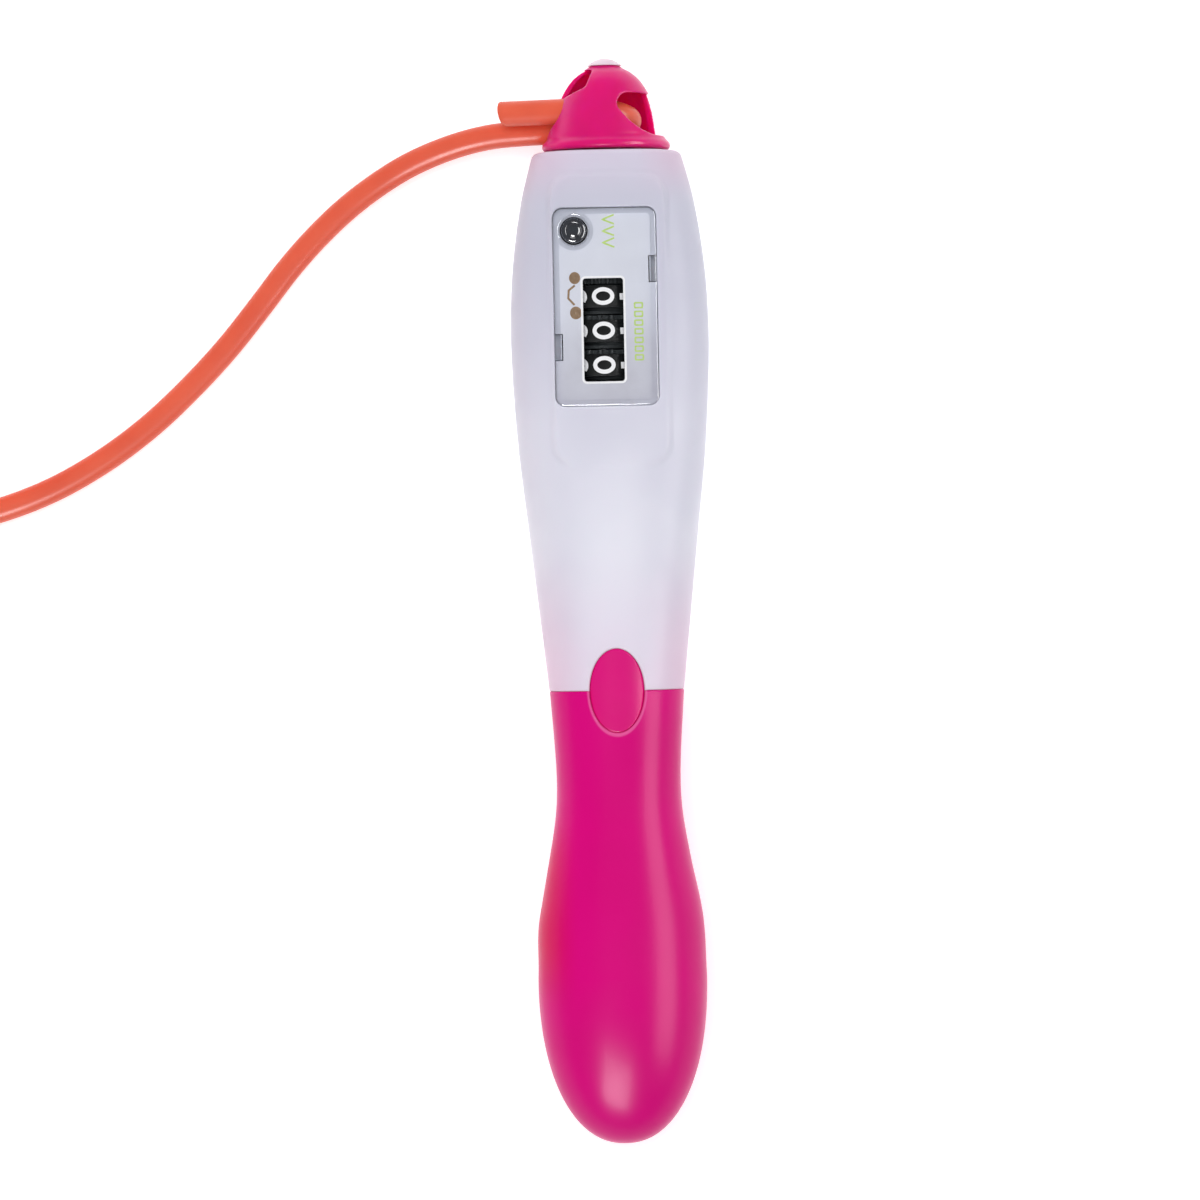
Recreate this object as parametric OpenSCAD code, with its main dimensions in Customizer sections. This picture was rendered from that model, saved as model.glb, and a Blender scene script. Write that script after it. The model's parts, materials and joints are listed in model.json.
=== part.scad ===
// Counting handle of a skipping rope: a moulded handle with a three-wheel revolution counter,
// a turning head that carries the rope, and the rope itself.
// +Y points from the grip to the head, +Z out of the counter window, and Z = 0 is the table.

/* [Handle] */
// Height of the handle's long axis above the table
axis_z = 13; // [12.5:0.1:14]
// Half of the length from the grip's end to the pin head's top
half_length = 89.5; // [89:0.1:90]
// Place along Y where the grip meets the white body
joint_y = -14.7; // [-16:0.1:-13]
// Place along Y of the white body's upper end
head_y = 73.9; // [73.5:0.1:74.2]
// Wall thickness of the white body
wall = 1.6; // [1.2:0.1:2]
// Wall thickness of the grip
grip_wall = 2; // [1.6:0.1:2.6]

/* [Counter panel] */
// Width of the flat panel around the window
panel_w = 19.1; // [18:0.1:20]
// Length of the flat panel
panel_len = 47.9; // [46:0.1:49]
// Place along Y of the panel's middle
panel_y = 46; // [45:0.1:47]
// Height of the front panel above the long axis
panel_rise = 12.6; // [12.4:0.1:12.8]
// Width of the clear lens
lens_w = 16.8; // [16:0.1:17.2]
// Length of the clear lens
lens_len = 32.3; // [32:0.1:33]
// Place along Y of the lens's middle
lens_y = 48.1; // [47.5:0.1:48.5]
// Place along X of the lens's middle
lens_x = -0.6; // [-0.8:0.1:-0.4]
// Thickness of the lens
lens_t = 1.8; // [1.6:0.1:2]

/* [Counter wheels] */
// Radius of a number wheel over its digits
wheel_r = 7.25; // [7.1:0.05:7.3]
// Distance between two number wheels
wheel_pitch = 5.63; // [5.6:0.01:5.7]
// Width of the part of a wheel that carries the digits
drum_w = 3.6; // [3.4:0.1:3.7]
// Place along Y of the units wheel's middle
units_y = 49.9; // [49.8:0.05:50]
// Radius of the wheels' shaft
shaft_r = 1.2; // [1.1:0.05:1.25]

/* [Reset] */
// Place of the reset button
button_at = [-5.6, 60.6]; // [-10:0.1:65]

/* [Head] */
// Radius of the head's flange
flange_r = 10.6; // [10.4:0.1:10.8]
// Height of the head without its pin
cap_h = 14.05; // [13.9:0.05:14.2]
// Wall thickness of the head
cap_wall = 1; // [0.9:0.1:1.3]
// Radius of the spindle
spindle_r = 1.6; // [1.5:0.05:1.65]

/* [Rope] */
// Diameter of the rope
rope_d = 4.2; // [4:0.1:4.2]
// Turns that lie beside each other in the coil
coil_columns = 5; // [4:1:5]
// Turns that lie on each other in the coil
coil_layers = 4; // [3:1:5]
// Mean diameter of the coil
coil_d = 50.4; // [48:0.2:52]

/* [Hidden] */
$fn = 48;
gap = 0.05;

// rows of [y, half width, front depth, rear depth, roundness] along the handle
BODY = [[joint_y, 11.1, 10.7, 10.9, 2.3], [0, 12.7, 11.5, 11.8, 2.4], [12, 14, 12.3, 12.4, 2.7],
        [24, 15.3, 12.8, 12.8, 3], [36, 16.1, 12.9, 12.9, 3.2], [45, 16.3, 12.9, 12.9, 3.3],
        [55, 15.8, 12.9, 12.9, 3.3], [66, 14.2, 12.6, 12.6, 3.2], [head_y, 12.2, 11.5, 11.5, 2.6]];
GRIP = [[-62, 13.95, 13, 13, 2.1], [-52, 13.5, 12.5, 12.5, 2.1], [-42, 11.6, 11, 11.3, 2.1],
        [-34, 10.4, 10.1, 10.6, 2.1], [-27, 10.3, 10, 10.4, 2.2], [joint_y, 11.1, 10.7, 10.9, 2.3]];
section_points = 40;
body_steps = 20;
grip_steps = 13;
tip_steps = 8;
spigot_len = 10;
spigot_play = 0.15;
head_wall = 2;
front_plane = axis_z + panel_rise;
panel_r = 3.8;
plate_t = 0.8;
opening_play = 0.1;

// the counter's axes, as [x, z]
wheel_axis = [-1, front_plane - lens_t - 0.4 - wheel_r];
spindle_axis = [0, axis_z];
lever_axis = [-8.6, 9.2];
gear_m = 0.4;
transfer_m = 0.6;
pinion_teeth = 8;
idler_teeth = 24;
idler_shaft_r = 0.8;
idler_pinion_teeth = 9;
units_teeth = 30;
ring_teeth = 20;
transfer_angle = -75;
transfer_reach = transfer_m * (ring_teeth + pinion_teeth) / 2;
transfer_axis = wheel_axis + transfer_reach * [cos(transfer_angle), sin(transfer_angle)];
idler_axis = meeting(spindle_axis, gear_m * (pinion_teeth + idler_teeth) / 2,
                     wheel_axis, gear_m * (idler_pinion_teeth + units_teeth) / 2);
idler_angle = azimuth(idler_axis - spindle_axis);
units_angle = azimuth(wheel_axis - idler_axis);
small_shaft_r = 0.7;
stub_r = 0.75;
frame_low = [33.4, 34.6];
frame_mid = [54.6, 55.8];
frame_top = [59, 60.2];
frame_left = -6.6;
web_z = 3.4;
shelf_z = 16.2;
ear_z = 13.9;
ear_x = 11.4;
frame_screw_y = [34, 53.3];
frame_screw_r = 0.8;
shell_screw_at = [[9.6, 67.2], [-9.6, 67.2], [8, 8], [-8, 8]];
screw_r = 0.95;
plate_z = front_plane + 0.2 - lens_t;
badge_z = axis_z + 8;
badge_size = [4.4, 6.8];
badge_curve_r = 10.45;
grip_screw_at = [0, -9.5];
grip_screw_z = 2.7;
// the lens's hooks as [side, place along Y]
hook_at = [[-1, 41.6], [1, 54.2]];
hook_t = 1.2;
clip_y = 63;
cam_low = 2.4;
cam_high = 5.2;
cam_angle = 221;
cam_w = 0.55;
ring_w = 0.75;
carry_w = 0.5;
ring_phase = transfer_angle + 180 / ring_teeth;
units_gear_y = 52;
pin_r = 2.85;
spring_r = 1.7;
wire_r = 0.2;
spring_turns = 6;
collar_z = 22;
button_r = 2.05;
button_stem_r = 1.1;
button_dome_r = 3.4;
flange_y = head_y + 0.35;

// the rope: its held part wraps the spindle, and the points are its centre line
rope_r = rope_d / 2;
wrap_r = 3.85;
wrap_from = 110;
wrap_to = -90;
tail_y = 80.8;
strand_y = 77.8;
tail_len = 16.6;
seam_x = -7;
RUN = [[seam_x, strand_y, 8.9], [-10, 77.8, 8.7], [-14, 77.7, 7.9], [-18.6, 77.4, 7],
       [-23, 76.6, 6], [-28, 75.1, 4.8], [-33, 73, 3.8], [-38, 70.1, 3], [-43, 66.5, 2.5],
       [-48, 62, 2.3], [-53, 56.6, 2.3], [-58, 50.3, 2.3], [-63.5, 43.6, 2.3], [-70, 36.8, 2.3],
       [-77, 30.5, 2.3], [-85, 24.8, 2.3], [-94, 20, 2.4], [-104, 16.6, 2.5], [-114, 14.9, 2.6],
       [-125, 14.5, 2.7], [-134, 14.5, 2.7]];
coil_at = [-140, 48.1];
tie_t = 0.6;
tie_w = 5;
tie_slack = 0.25;
coil_in = coil_d / 2 - coil_columns * rope_d / 2;
coil_h = coil_layers * rope_d;

// ---------- curves and sections ----------

function azimuth(v) = atan2(v[1], v[0]);
function meeting(a, ra, b, rb) =
    let (d = norm(b - a), along = (ra * ra - rb * rb + d * d) / (2 * d),
         u = (b - a) / d, side = sqrt(ra * ra - along * along))
    a + along * u + side * [u[1], -u[0]];

// a smooth value between rows that start with their place
function segment(rows, s, i = 0) = i >= len(rows) - 2 || s <= rows[i + 1][0] ? i : segment(rows, s, i + 1);
function slope(rows, i) = let (a = max(i - 1, 0), b = min(i + 1, len(rows) - 1))
    (rows[b] - rows[a]) / (rows[b][0] - rows[a][0]);
function hermite(a, b, ma, mb, t) = (2 * t ^ 3 - 3 * t ^ 2 + 1) * a + (t ^ 3 - 2 * t ^ 2 + t) * ma
    + (3 * t ^ 2 - 2 * t ^ 3) * b + (t ^ 3 - t ^ 2) * mb;
function row_at(rows, s) = let (i = segment(rows, s), d = rows[i + 1][0] - rows[i][0])
    hermite(rows[i], rows[i + 1], slope(rows, i) * d, slope(rows, i + 1) * d, (s - rows[i][0]) / d);

function bent(c, n) = sign(c) * pow(abs(c), 2 / n);
function ring_of(row, inset) = [for (i = [0:section_points - 1])
    let (a = 360 * i / section_points, c = bent(cos(a), row[4]), s = bent(sin(a), row[4]))
    [(row[1] - inset) * c, row[0], axis_z + ((s > 0 ? row[2] : row[3]) - inset) * s]];

// the closed end of the grip, on a curve a little squarer than an ellipse
function tip_row(t) = let (w = GRIP[0], k = pow(1 - pow(sin(90 * t), 2.2), 1 / 2.2))
    [w[0] + (w[0] + half_length) * -sin(90 * t), max(w[1] * k, 0.6), max(w[2] * k, 0.6),
     max(w[3] * k, 0.6), w[4]];
GRIP_ROWS = concat([for (i = [tip_steps:-1:1]) tip_row(i / tip_steps)],
    [for (i = [0:grip_steps]) row_at(GRIP, GRIP[0][0] + (joint_y - GRIP[0][0]) * i / grip_steps)]);
BODY_ROWS = [for (i = [0:body_steps]) row_at(BODY, joint_y + (head_y - joint_y) * i / body_steps)];

// a closed solid through rings of points, each ring in its own plane
module skin(rings) {
    n = len(rings[0]);
    last = len(rings) - 1;
    polyhedron(
        points = [for (r = rings) each r],
        faces = concat([[for (i = [n - 1:-1:0]) i]], [[for (i = [0:n - 1]) last * n + i]],
            [for (k = [0:last - 1], i = [0:n - 1]) let (j = (i + 1) % n)
                [k * n + i, k * n + j, (k + 1) * n + i]],
            [for (k = [0:last - 1], i = [0:n - 1]) let (j = (i + 1) % n)
                [k * n + j, (k + 1) * n + j, (k + 1) * n + i]]));
}
module tube_along(path, r, sides, up) {
    last = len(path) - 1;
    skin([for (k = [0:last])
        let (t = path[min(k + 1, last)] - path[max(k - 1, 0)], f = t / norm(t),
             a = cross(f, up) / norm(cross(f, up)), b = cross(a, f))
        [for (i = [0:sides - 1]) path[k] - r * (cos(360 * i / sides) * a + sin(360 * i / sides) * b)]]);
}

// ---------- shared shapes ----------

module along_y(at, y_high) translate([at[0], y_high, at[1]]) rotate([90, 0, 0]) children();
module rod(at, r, y) along_y(at, y[1]) cylinder(r = r, h = y[1] - y[0]);
module pillar(at, r, z) translate([at[0], at[1], z[0]]) cylinder(r = r, h = z[1] - z[0]);
module block(low, high) translate(low) cube(high - low);
module slab(at, size, r, z) {
    translate([at[0], at[1], z[0]]) linear_extrude(z[1] - z[0]) rounded_rect(size, r);
}
module rounded_rect(size, r) {
    square([size[0] - 2 * r, size[1]], center = true);
    square([size[0], size[1] - 2 * r], center = true);
    for (x = [-1, 1], y = [-1, 1])
        translate([x * (size[0] / 2 - r), y * (size[1] / 2 - r)]) circle(r, $fn = 24);
}
module oval(at, rx, ry, z) {
    translate([at[0], at[1], z[0]]) linear_extrude(z[1] - z[0]) scale([rx, ry]) circle(1);
}

// a spur gear with straight-sided teeth and play, one tooth pointing along +X
module gear(teeth, m, width) {
    p = 360 / teeth;
    r = m * teeth / 2;
    tooth = [[-0.25, r - 1.15 * m], [-0.18, r], [-0.1, r + 0.75 * m], [0.1, r + 0.75 * m], [0.18, r],
             [0.25, r - 1.15 * m]];
    linear_extrude(width)
        polygon([for (k = [0:teeth - 1], q = tooth) q[1] * [cos(p * (k + q[0])), sin(p * (k + q[0]))]]);
}

// a screw whose head's seat is at the origin and whose shank points up
module screw(r, shank, head_r, head_h) {
    difference() {
        union() {
            translate([0, 0, -head_h]) cylinder(r = head_r, h = head_h);
            translate([0, 0, -0.01]) cylinder(r = r, h = shank + 0.01);
        }
        for (a = [0, 90]) rotate(a)
            translate([-0.8 * head_r, -0.2, -head_h - 1]) cube([1.6 * head_r, 0.4, 1.5]);
    }
}

// ---------- casing ----------

module body_outline() {
    difference() {
        skin([for (r = BODY_ROWS) ring_of(r, 0)]);
        slab([0, panel_y], [panel_w, panel_len], panel_r, [front_plane, 40]);
        slab([0, panel_y], [panel_w, panel_len], panel_r, [-10, 0]);
    }
    slab([0, panel_y], [panel_w, panel_len], panel_r, [0, front_plane]);
}
module body_cavity() {
    rows = [for (r = BODY_ROWS) if (r[0] < head_y - head_wall - 1) r];
    top = row_at(BODY, head_y - head_wall);
    low = concat([joint_y - 1], [for (k = [1:4]) BODY_ROWS[0][k]]);
    intersection() {
        skin([for (r = concat([low], rows, [top])) ring_of(r, wall)]);
        block([-20, -20, wall], [20, 80, front_plane - wall]);
    }
}
module half(front) {
    z = front ? [axis_z, 40] : [-10, axis_z];
    block([-30, -100, z[0]], [30, 100, z[1]]);
}
// the bosses, ribs and bulkheads inside both halves
module inner_ribs() {
    for (p = shell_screw_at) pillar(p, 3.1, [0, 30]);
    block([-5.6, 64.5, 0], [5.6, 66, 30]);
    block([-5.6, 70, 0], [5.6, head_y, 30]);
}
module bush_bore() rod(spindle_axis, 4, [60, 80]);
module badge_seat(play) oval([0, joint_y], badge_size[0] + play, badge_size[1] + play, [badge_z, 40]);

module front_shell() {
    lens_at = [lens_x, lens_y];
    opening = [lens_w, lens_len] + 2 * opening_play * [1, 1];
    color("lavender") difference() {
        intersection() {
            body_outline();
            half(true);
            union() {
                difference() {
                    block([-30, -100, 0], [30, 100, 40]);
                    body_cavity();
                }
                inner_ribs();
                for (x = [-1, 1], y = frame_screw_y) pillar([x * ear_x, y], 2.2, [ear_z, 40]);
            }
        }
        slab(lens_at, opening, 1.7, [axis_z + 5, 40]);
        bush_bore();
        badge_seat(0.1);
        for (p = shell_screw_at) pillar(p, screw_r + 0.02, [0, axis_z + 7]);
        for (x = [-1, 1], y = frame_screw_y) pillar([x * ear_x, y], frame_screw_r + 0.02, [0, axis_z + 6]);
    }
}

module rear_shell() {
    color("lavender") difference() {
        intersection() {
            body_outline();
            half(false);
            union() {
                difference() {
                    block([-30, -100, -1], [30, 100, 40]);
                    body_cavity();
                }
                inner_ribs();
                for (y = [33, 63.2]) block([lever_axis[0] - 1.6, y, 0], [lever_axis[0] + 1.6, y + 1.2, 11]);
            }
        }
        bush_bore();
        rod(lever_axis, small_shaft_r + 0.02, [32, 65]);
        for (p = shell_screw_at) {
            pillar(p, 1.2, [-5, 20]);
            pillar(p, 2, [-5, 4.6]);
        }
        pillar(grip_screw_at, 1.2, [-5, 8]);
        pillar(grip_screw_at, 2.2, [-5, grip_screw_z]);
    }
}

// the screws that pull the two halves together, from the rear
module shell_screws() {
    color("silver") for (p = shell_screw_at) translate([p[0], p[1], 4.6]) screw(screw_r, 14.6, 1.8, 1.2);
}

// ---------- grip ----------

module grip() {
    top = joint_y + spigot_len;
    spigot = [for (i = [0:3]) row_at(BODY, joint_y + spigot_len * i / 3)];
    low = concat([joint_y - 3], [for (k = [1:4]) spigot[0][k]]);
    hollow = concat([for (r = GRIP_ROWS) if (r[0] > -85) r], [for (i = [1:3]) spigot[i]],
                    [concat([top + 1], [for (k = [1:4]) spigot[3][k]])]);
    color("deeppink") difference() {
        union() {
            skin([for (r = GRIP_ROWS) ring_of(r, 0)]);
            skin([for (r = concat([low], spigot)) ring_of(r, wall + spigot_play)]);
        }
        difference() {
            skin([for (r = hollow) ring_of(r, wall + spigot_play + grip_wall)]);
            oval([0, joint_y], 5.8, 8.2, [axis_z + 5, 40]);
            pillar(grip_screw_at, 2.8, [0, 9]);
        }
        badge_seat(0.1);
        for (y = [-1, 1]) pillar([0, joint_y + 3.5 * y], 0.92, [badge_z - 2, 30]);
        pillar(grip_screw_at, 1.02, [0, 8.9]);
    }
}

// an oval plug that covers the joint and pins the spigot
module badge() {
    tilt = 3.5;
    color("hotpink") {
        intersection() {
            oval([0, joint_y], badge_size[0], badge_size[1], [badge_z, 30]);
            translate([0, joint_y, axis_z]) rotate([90 + tilt, 0, 0])
                cylinder(r = badge_curve_r, h = 40, center = true);
        }
        for (y = [-1, 1]) pillar([0, joint_y + 3.5 * y], 0.9, [badge_z - 2, badge_z + 1]);
    }
}

module grip_screw() {
    color("silver") translate([grip_screw_at[0], grip_screw_at[1], grip_screw_z]) screw(1, 6, 2, 1);
}

// ---------- counter window ----------

module hooks(grow) {
    for (h = hook_at) {
        edge = lens_x + h[0] * lens_w / 2;
        inner = edge - h[0] * (hook_t + grow);
        block([min(edge, inner), h[1] - 2.1 - grow, plate_z - plate_t - 0.8],
              [max(edge, inner), h[1] + 2.1 + grow, plate_z + 0.2]);
    }
}

// a clear tray with a rim, a collar round the button and two hooks
module lens() {
    at = [lens_x, lens_y];
    color("lightcyan", 0.5) {
        difference() {
            union() {
                difference() {
                    slab(at, [lens_w, lens_len], 1.6, [plate_z, plate_z + lens_t]);
                    slab(at, [lens_w - 2, lens_len - 2], 0.8, [plate_z - 1, plate_z + lens_t - 0.9]);
                }
                intersection() {
                    pillar(button_at, 3.2, [plate_z, plate_z + lens_t]);
                    slab(at, [lens_w, lens_len], 1.6, [plate_z, plate_z + lens_t]);
                }
            }
            pillar(button_at, button_r + 0.35, [0, 40]);
        }
        hooks(0);
        for (h = hook_at) {
            x = lens_x + h[0] * (lens_w / 2 - hook_t);
            block([min(x, x - h[0] * 0.5), h[1] - 2.1, plate_z - plate_t - 0.8],
                  [max(x, x - h[0] * 0.5), h[1] + 2.1, plate_z - plate_t - 0.1]);
        }
    }
}

// the printed plate with the digit window, the button's hole and notches for the lens's hooks
module face_plate() {
    color("white") difference() {
        slab([lens_x, lens_y], [lens_w, lens_len], 1.6, [plate_z - plate_t, plate_z]);
        slab([wheel_axis[0], units_y - wheel_pitch + 0.1], [6.6, 16.9], 0.5, [0, 40]);
        pillar(button_at, button_r + 0.25, [0, 40]);
        hooks(0.1);
    }
}

// ---------- counter works ----------

module counter_frame() {
    top = plate_z - plate_t;
    color("gainsboro") difference() {
        union() {
            for (y = [frame_low, frame_mid]) {
                block([frame_left, y[0], web_z], [9, y[1], 20.5]);
                block([-6.4, y[0], 20], [5.8, y[1], top]);
                block([-ear_x, y[0], ear_z - 1.3], [ear_x, y[1], ear_z]);
            }
            for (x = [-1, 1], y = frame_screw_y) pillar([x * ear_x, y], 2.2, [ear_z - 1.3, ear_z]);
            block([-2.2, frame_top[0], web_z], [9, frame_top[1], 19]);
            block([frame_left, frame_low[0], web_z], [9, frame_top[1], web_z + 1.2]);
            block([-8.2, frame_mid[0], shelf_z - 1.2], [-3, 63.4, shelf_z]);
        }
        for (x = [-1, 1], y = frame_screw_y) pillar([x * ear_x, y], frame_screw_r + 0.1, [0, 40]);
        rod(wheel_axis, shaft_r + 0.02, [30, 58]);
        rod(transfer_axis, small_shaft_r + 0.02, [30, 58]);
        rod(idler_axis, idler_shaft_r + gap, [54, 62]);
        rod(spindle_axis, stub_r + gap, [54, 58]);
        rod(spindle_axis, spindle_r + gap, [58, 62]);
        pillar(button_at, button_stem_r + gap, [0, 40]);
    }
}

module frame_screws() {
    color("silver") for (x = [-1, 1], y = frame_screw_y)
        translate([x * ear_x, y, ear_z - 1.3]) screw(frame_screw_r, 5.5, 1.6, 1);
}

module wheel_shaft() color("silver") rod(wheel_axis, shaft_r, [33, 56]);
module pinion_shaft() color("silver") rod(transfer_axis, small_shaft_r, [33, 56]);
module lever_shaft() color("silver") rod(lever_axis, small_shaft_r, [33, 64.4]);

// the heart-shaped cam that a reset finger presses
module heart_cam() {
    linear_extrude(cam_w) polygon([for (a = [-180:10:170])
        let (r = cam_low + (cam_high - cam_low) * abs(a) / 180)
            r * [cos(a + cam_angle), sin(a + cam_angle)]]);
}

// a number wheel: drum, heart cam and carry teeth below, and a gear above
module number_wheel(y, teeth, m, gear_y, gear_w, phase, carry) {
    top = y + drum_w / 2;
    bottom = y - drum_w / 2;
    turn = 360 / ring_teeth;
    color("dimgray") difference() {
        union() {
            rod(wheel_axis, wheel_r, [bottom, top]);
            rod(wheel_axis, 3, [bottom, gear_y + 0.01]);
            along_y(wheel_axis, gear_y + gear_w) rotate(phase) gear(teeth, m, gear_w);
            along_y(wheel_axis, bottom + 0.01) heart_cam();
            if (carry) {
                rod(wheel_axis, cam_high, [bottom - cam_w - carry_w, bottom - cam_w + 0.02]);
                along_y(wheel_axis, bottom - cam_w) linear_extrude(carry_w)
                    for (k = [-0.5, 0.5]) rotate(transfer_angle + 38 + k * turn)
                        polygon([[4.5, -0.75], [6.5, -0.35], [6.5, 0.35], [4.5, 0.75]]);
            }
        }
        rod(wheel_axis, shaft_r + gap, [20, 70]);
    }
}
module ring_wheel(y, carry) {
    number_wheel(y, ring_teeth, transfer_m, y + drum_w / 2 - 0.01, ring_w, ring_phase, carry);
}
module units_wheel() {
    phase = units_angle + 180 + 180 / units_teeth;
    number_wheel(units_y, units_teeth, gear_m, units_gear_y, 1.6, phase, true);
}
module tens_wheel() ring_wheel(units_y - wheel_pitch, true);
module hundreds_wheel() ring_wheel(units_y - 2 * wheel_pitch, false);

// carries one step from a wheel to the next: every tooth drives, every other one is long
module transfer_pinion(y) {
    low = y + drum_w / 2 - wheel_pitch + 0.05;
    color("ivory") difference() {
        union() {
            along_y(transfer_axis, low + ring_w) rotate(transfer_angle + 180)
                gear(pinion_teeth, transfer_m, ring_w);
            rod(transfer_axis, 1.7, [low, y - drum_w / 2 - cam_w]);
            along_y(transfer_axis, y - drum_w / 2 - cam_w - 0.05) intersection() {
                rotate(transfer_angle + 180) gear(pinion_teeth, transfer_m, carry_w + 0.2);
                for (a = [45, 135]) rotate(transfer_angle + a) cube([7, 1.5, 9], center = true);
            }
        }
        rod(transfer_axis, small_shaft_r + gap, [20, 70]);
    }
}
module transfer_pinion_1() transfer_pinion(units_y);
module transfer_pinion_2() transfer_pinion(units_y - wheel_pitch);

// a leaf with two fingers that rest just off the ring gears
module detent_spring() {
    finger_y = [for (k = [1, 2]) units_y - k * wheel_pitch + (drum_w + ring_w) / 2];
    color("silver") {
        block([7.3, 36, web_z + 1.2], [7.6, 50, 9]);
        for (y = finger_y) translate([7, y, 9.6]) rotate([0, -17, 0]) cube([0.3, 0.6, 8.6], center = true);
    }
}

// ---------- drive ----------

module idler_gear() {
    color("ivory") {
        phase = idler_angle + 180 + 180 / idler_teeth;
        along_y(idler_axis, 57.8) rotate(phase) gear(idler_teeth, gear_m, 1.6);
        rod(idler_axis, idler_shaft_r, [52, 60.2]);
    }
}
module idler_pinion() {
    color("ivory") difference() {
        along_y(idler_axis, 53.6) rotate(units_angle) gear(idler_pinion_teeth, gear_m, 1.6);
        rod(idler_axis, idler_shaft_r, [50, 54]);
    }
}
module spindle_pinion() {
    color("ivory") difference() {
        along_y(spindle_axis, 58.6) rotate(idler_angle) gear(pinion_teeth, gear_m, 2.5);
        rod(spindle_axis, stub_r, [55, 60]);
    }
}

module spindle() {
    color("white") difference() {
        union() {
            rod(spindle_axis, spindle_r, [59.05, flange_y + cap_h]);
            rod(spindle_axis, stub_r, [54.8, 59.2]);
            translate([0, flange_y + cap_h, axis_z]) rotate([-90, 0, 0]) pin_head();
        }
        difference() {
            rod(spindle_axis, spindle_r + 1, [clip_y, clip_y + 0.7]);
            rod(spindle_axis, 1.2, [clip_y - 1, clip_y + 2]);
        }
    }
}
module pin_head() {
    h = half_length - flange_y - cap_h;
    dome_r = (pin_r ^ 2 + h ^ 2) / (2 * h);
    intersection() {
        translate([0, 0, h - dome_r]) sphere(dome_r);
        cylinder(r = pin_r, h = h);
    }
}
module spindle_clip() {
    color("silver") difference() {
        rod(spindle_axis, 3, [clip_y + 0.1, clip_y + 0.6]);
        rod(spindle_axis, 1.2, [clip_y - 1, clip_y + 2]);
        block([-1.1, clip_y - 1, axis_z - 5], [1.1, clip_y + 2, axis_z]);
    }
}
module spindle_bush() {
    color("ivory") difference() {
        rod(spindle_axis, 3.98, [64, head_y]);
        rod(spindle_axis, spindle_r + gap, [60, 80]);
    }
}
module thrust_washer() {
    color("silver") difference() {
        rod(spindle_axis, 5, [head_y, head_y + 0.3]);
        rod(spindle_axis, spindle_r + 0.1, [60, 80]);
    }
}

// ---------- head ----------

// outside of the head as [radius, height] from the flange's underside
CAP = [[flange_r - 0.4, 0], [flange_r, 0.4], [flange_r, 1.1], [flange_r - 0.5, 1.6], [9.6, 2.6], [9, 4.4],
       [8.4, 6.4], [7.7, 8.2], [6.8, 10], [5.7, 11.6], [4.4, 12.8], [3, 13.6], [2.4, cap_h]];
module cap_solid() {
    rotate_extrude() polygon(concat([[0, 0]], CAP, [[0, cap_h]]));
}
module cap_hollow() {
    inside = [for (p = CAP) if (p[1] > 2 && p[1] < 12.9) p - [cap_wall, 0]];
    rotate_extrude() polygon(concat([[0, 1.2], [8.6, 1.2]], inside, [[0, 12.8]]));
}
module rotor_cap() {
    color("deeppink") difference() {
        translate([0, flange_y, axis_z]) rotate([-90, 0, 0]) difference() {
            cap_solid();
            cap_hollow();
        }
        rod(spindle_axis, spindle_r, [70, 95]);
        side_window();
        crown_window();
        rope_slot();
    }
}
function arc(at, r, from, to) =
    [for (i = [0:8]) let (a = from + (to - from) * i / 8) at + r * [cos(a), sin(a)]];

// the window at the right, which shows the rope's bend: its lower part reaches further back
module side_window() {
    outline = concat(arc([3.7, 7.4], 1.8, 90, 200),
                     [[2.9, 5.6], [4.2, 4.3], [5.8, 3.1], [7.6, 2.3], [14, 2], [14, 9.2]]);
    for (cut = [[-2, 10], [-4.7, 6.3]])
        translate([0, flange_y, axis_z + cut[0]]) linear_extrude(30) intersection() {
            polygon(outline);
            translate([0, 1]) square([15, cut[1] - 1]);
        }
}
// the window high on the left
module crown_window() {
    translate([0, flange_y, axis_z - 1]) linear_extrude(30)
        polygon([[-2, 13.3], [-3.2, 10.3], [-7.2, 8.5], [-12, 8.5], [-12, 13.3]]);
}
// the slot where both strands of the rope leave, a little wider than the rope
module rope_slot() {
    tail = [tail_y, axis_z + 1.6];
    strand = [strand_y, axis_z - 4.3];
    turn = azimuth(tail - strand);
    translate([-14, 0, 0]) rotate([90, 0, 90]) linear_extrude(9.5)
        polygon(concat(arc(tail, rope_r + 0.25, turn - 90, turn + 90),
                       arc(strand, rope_r + 0.25, turn + 90, turn + 270)));
}

// ---------- reset ----------

module reset_button() {
    head_top = front_plane + 0.7;
    color("black") {
        pillar(button_at, button_stem_r, [10.85, 22.5]);
        pillar(button_at, button_r + 0.8, [collar_z, collar_z + 0.9]);
        pillar(button_at, button_r, [22.5, head_top - 0.5]);
        intersection() {
            pillar(button_at, button_r, [head_top - 1, head_top]);
            translate([button_at[0], button_at[1], head_top - button_dome_r]) sphere(button_dome_r);
        }
    }
}
module button_spring() {
    from = shelf_z + wire_r;
    rise = collar_z - shelf_z - 2 * wire_r;
    steps = 12 * spring_turns;
    path = [for (i = [0:steps]) let (a = 30 * i)
        [button_at[0] + spring_r * cos(a), button_at[1] + spring_r * sin(a), from + rise * i / steps]];
    color("silver") tube_along(path, wire_r, 6, [0, 0, 1]);
}
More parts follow.
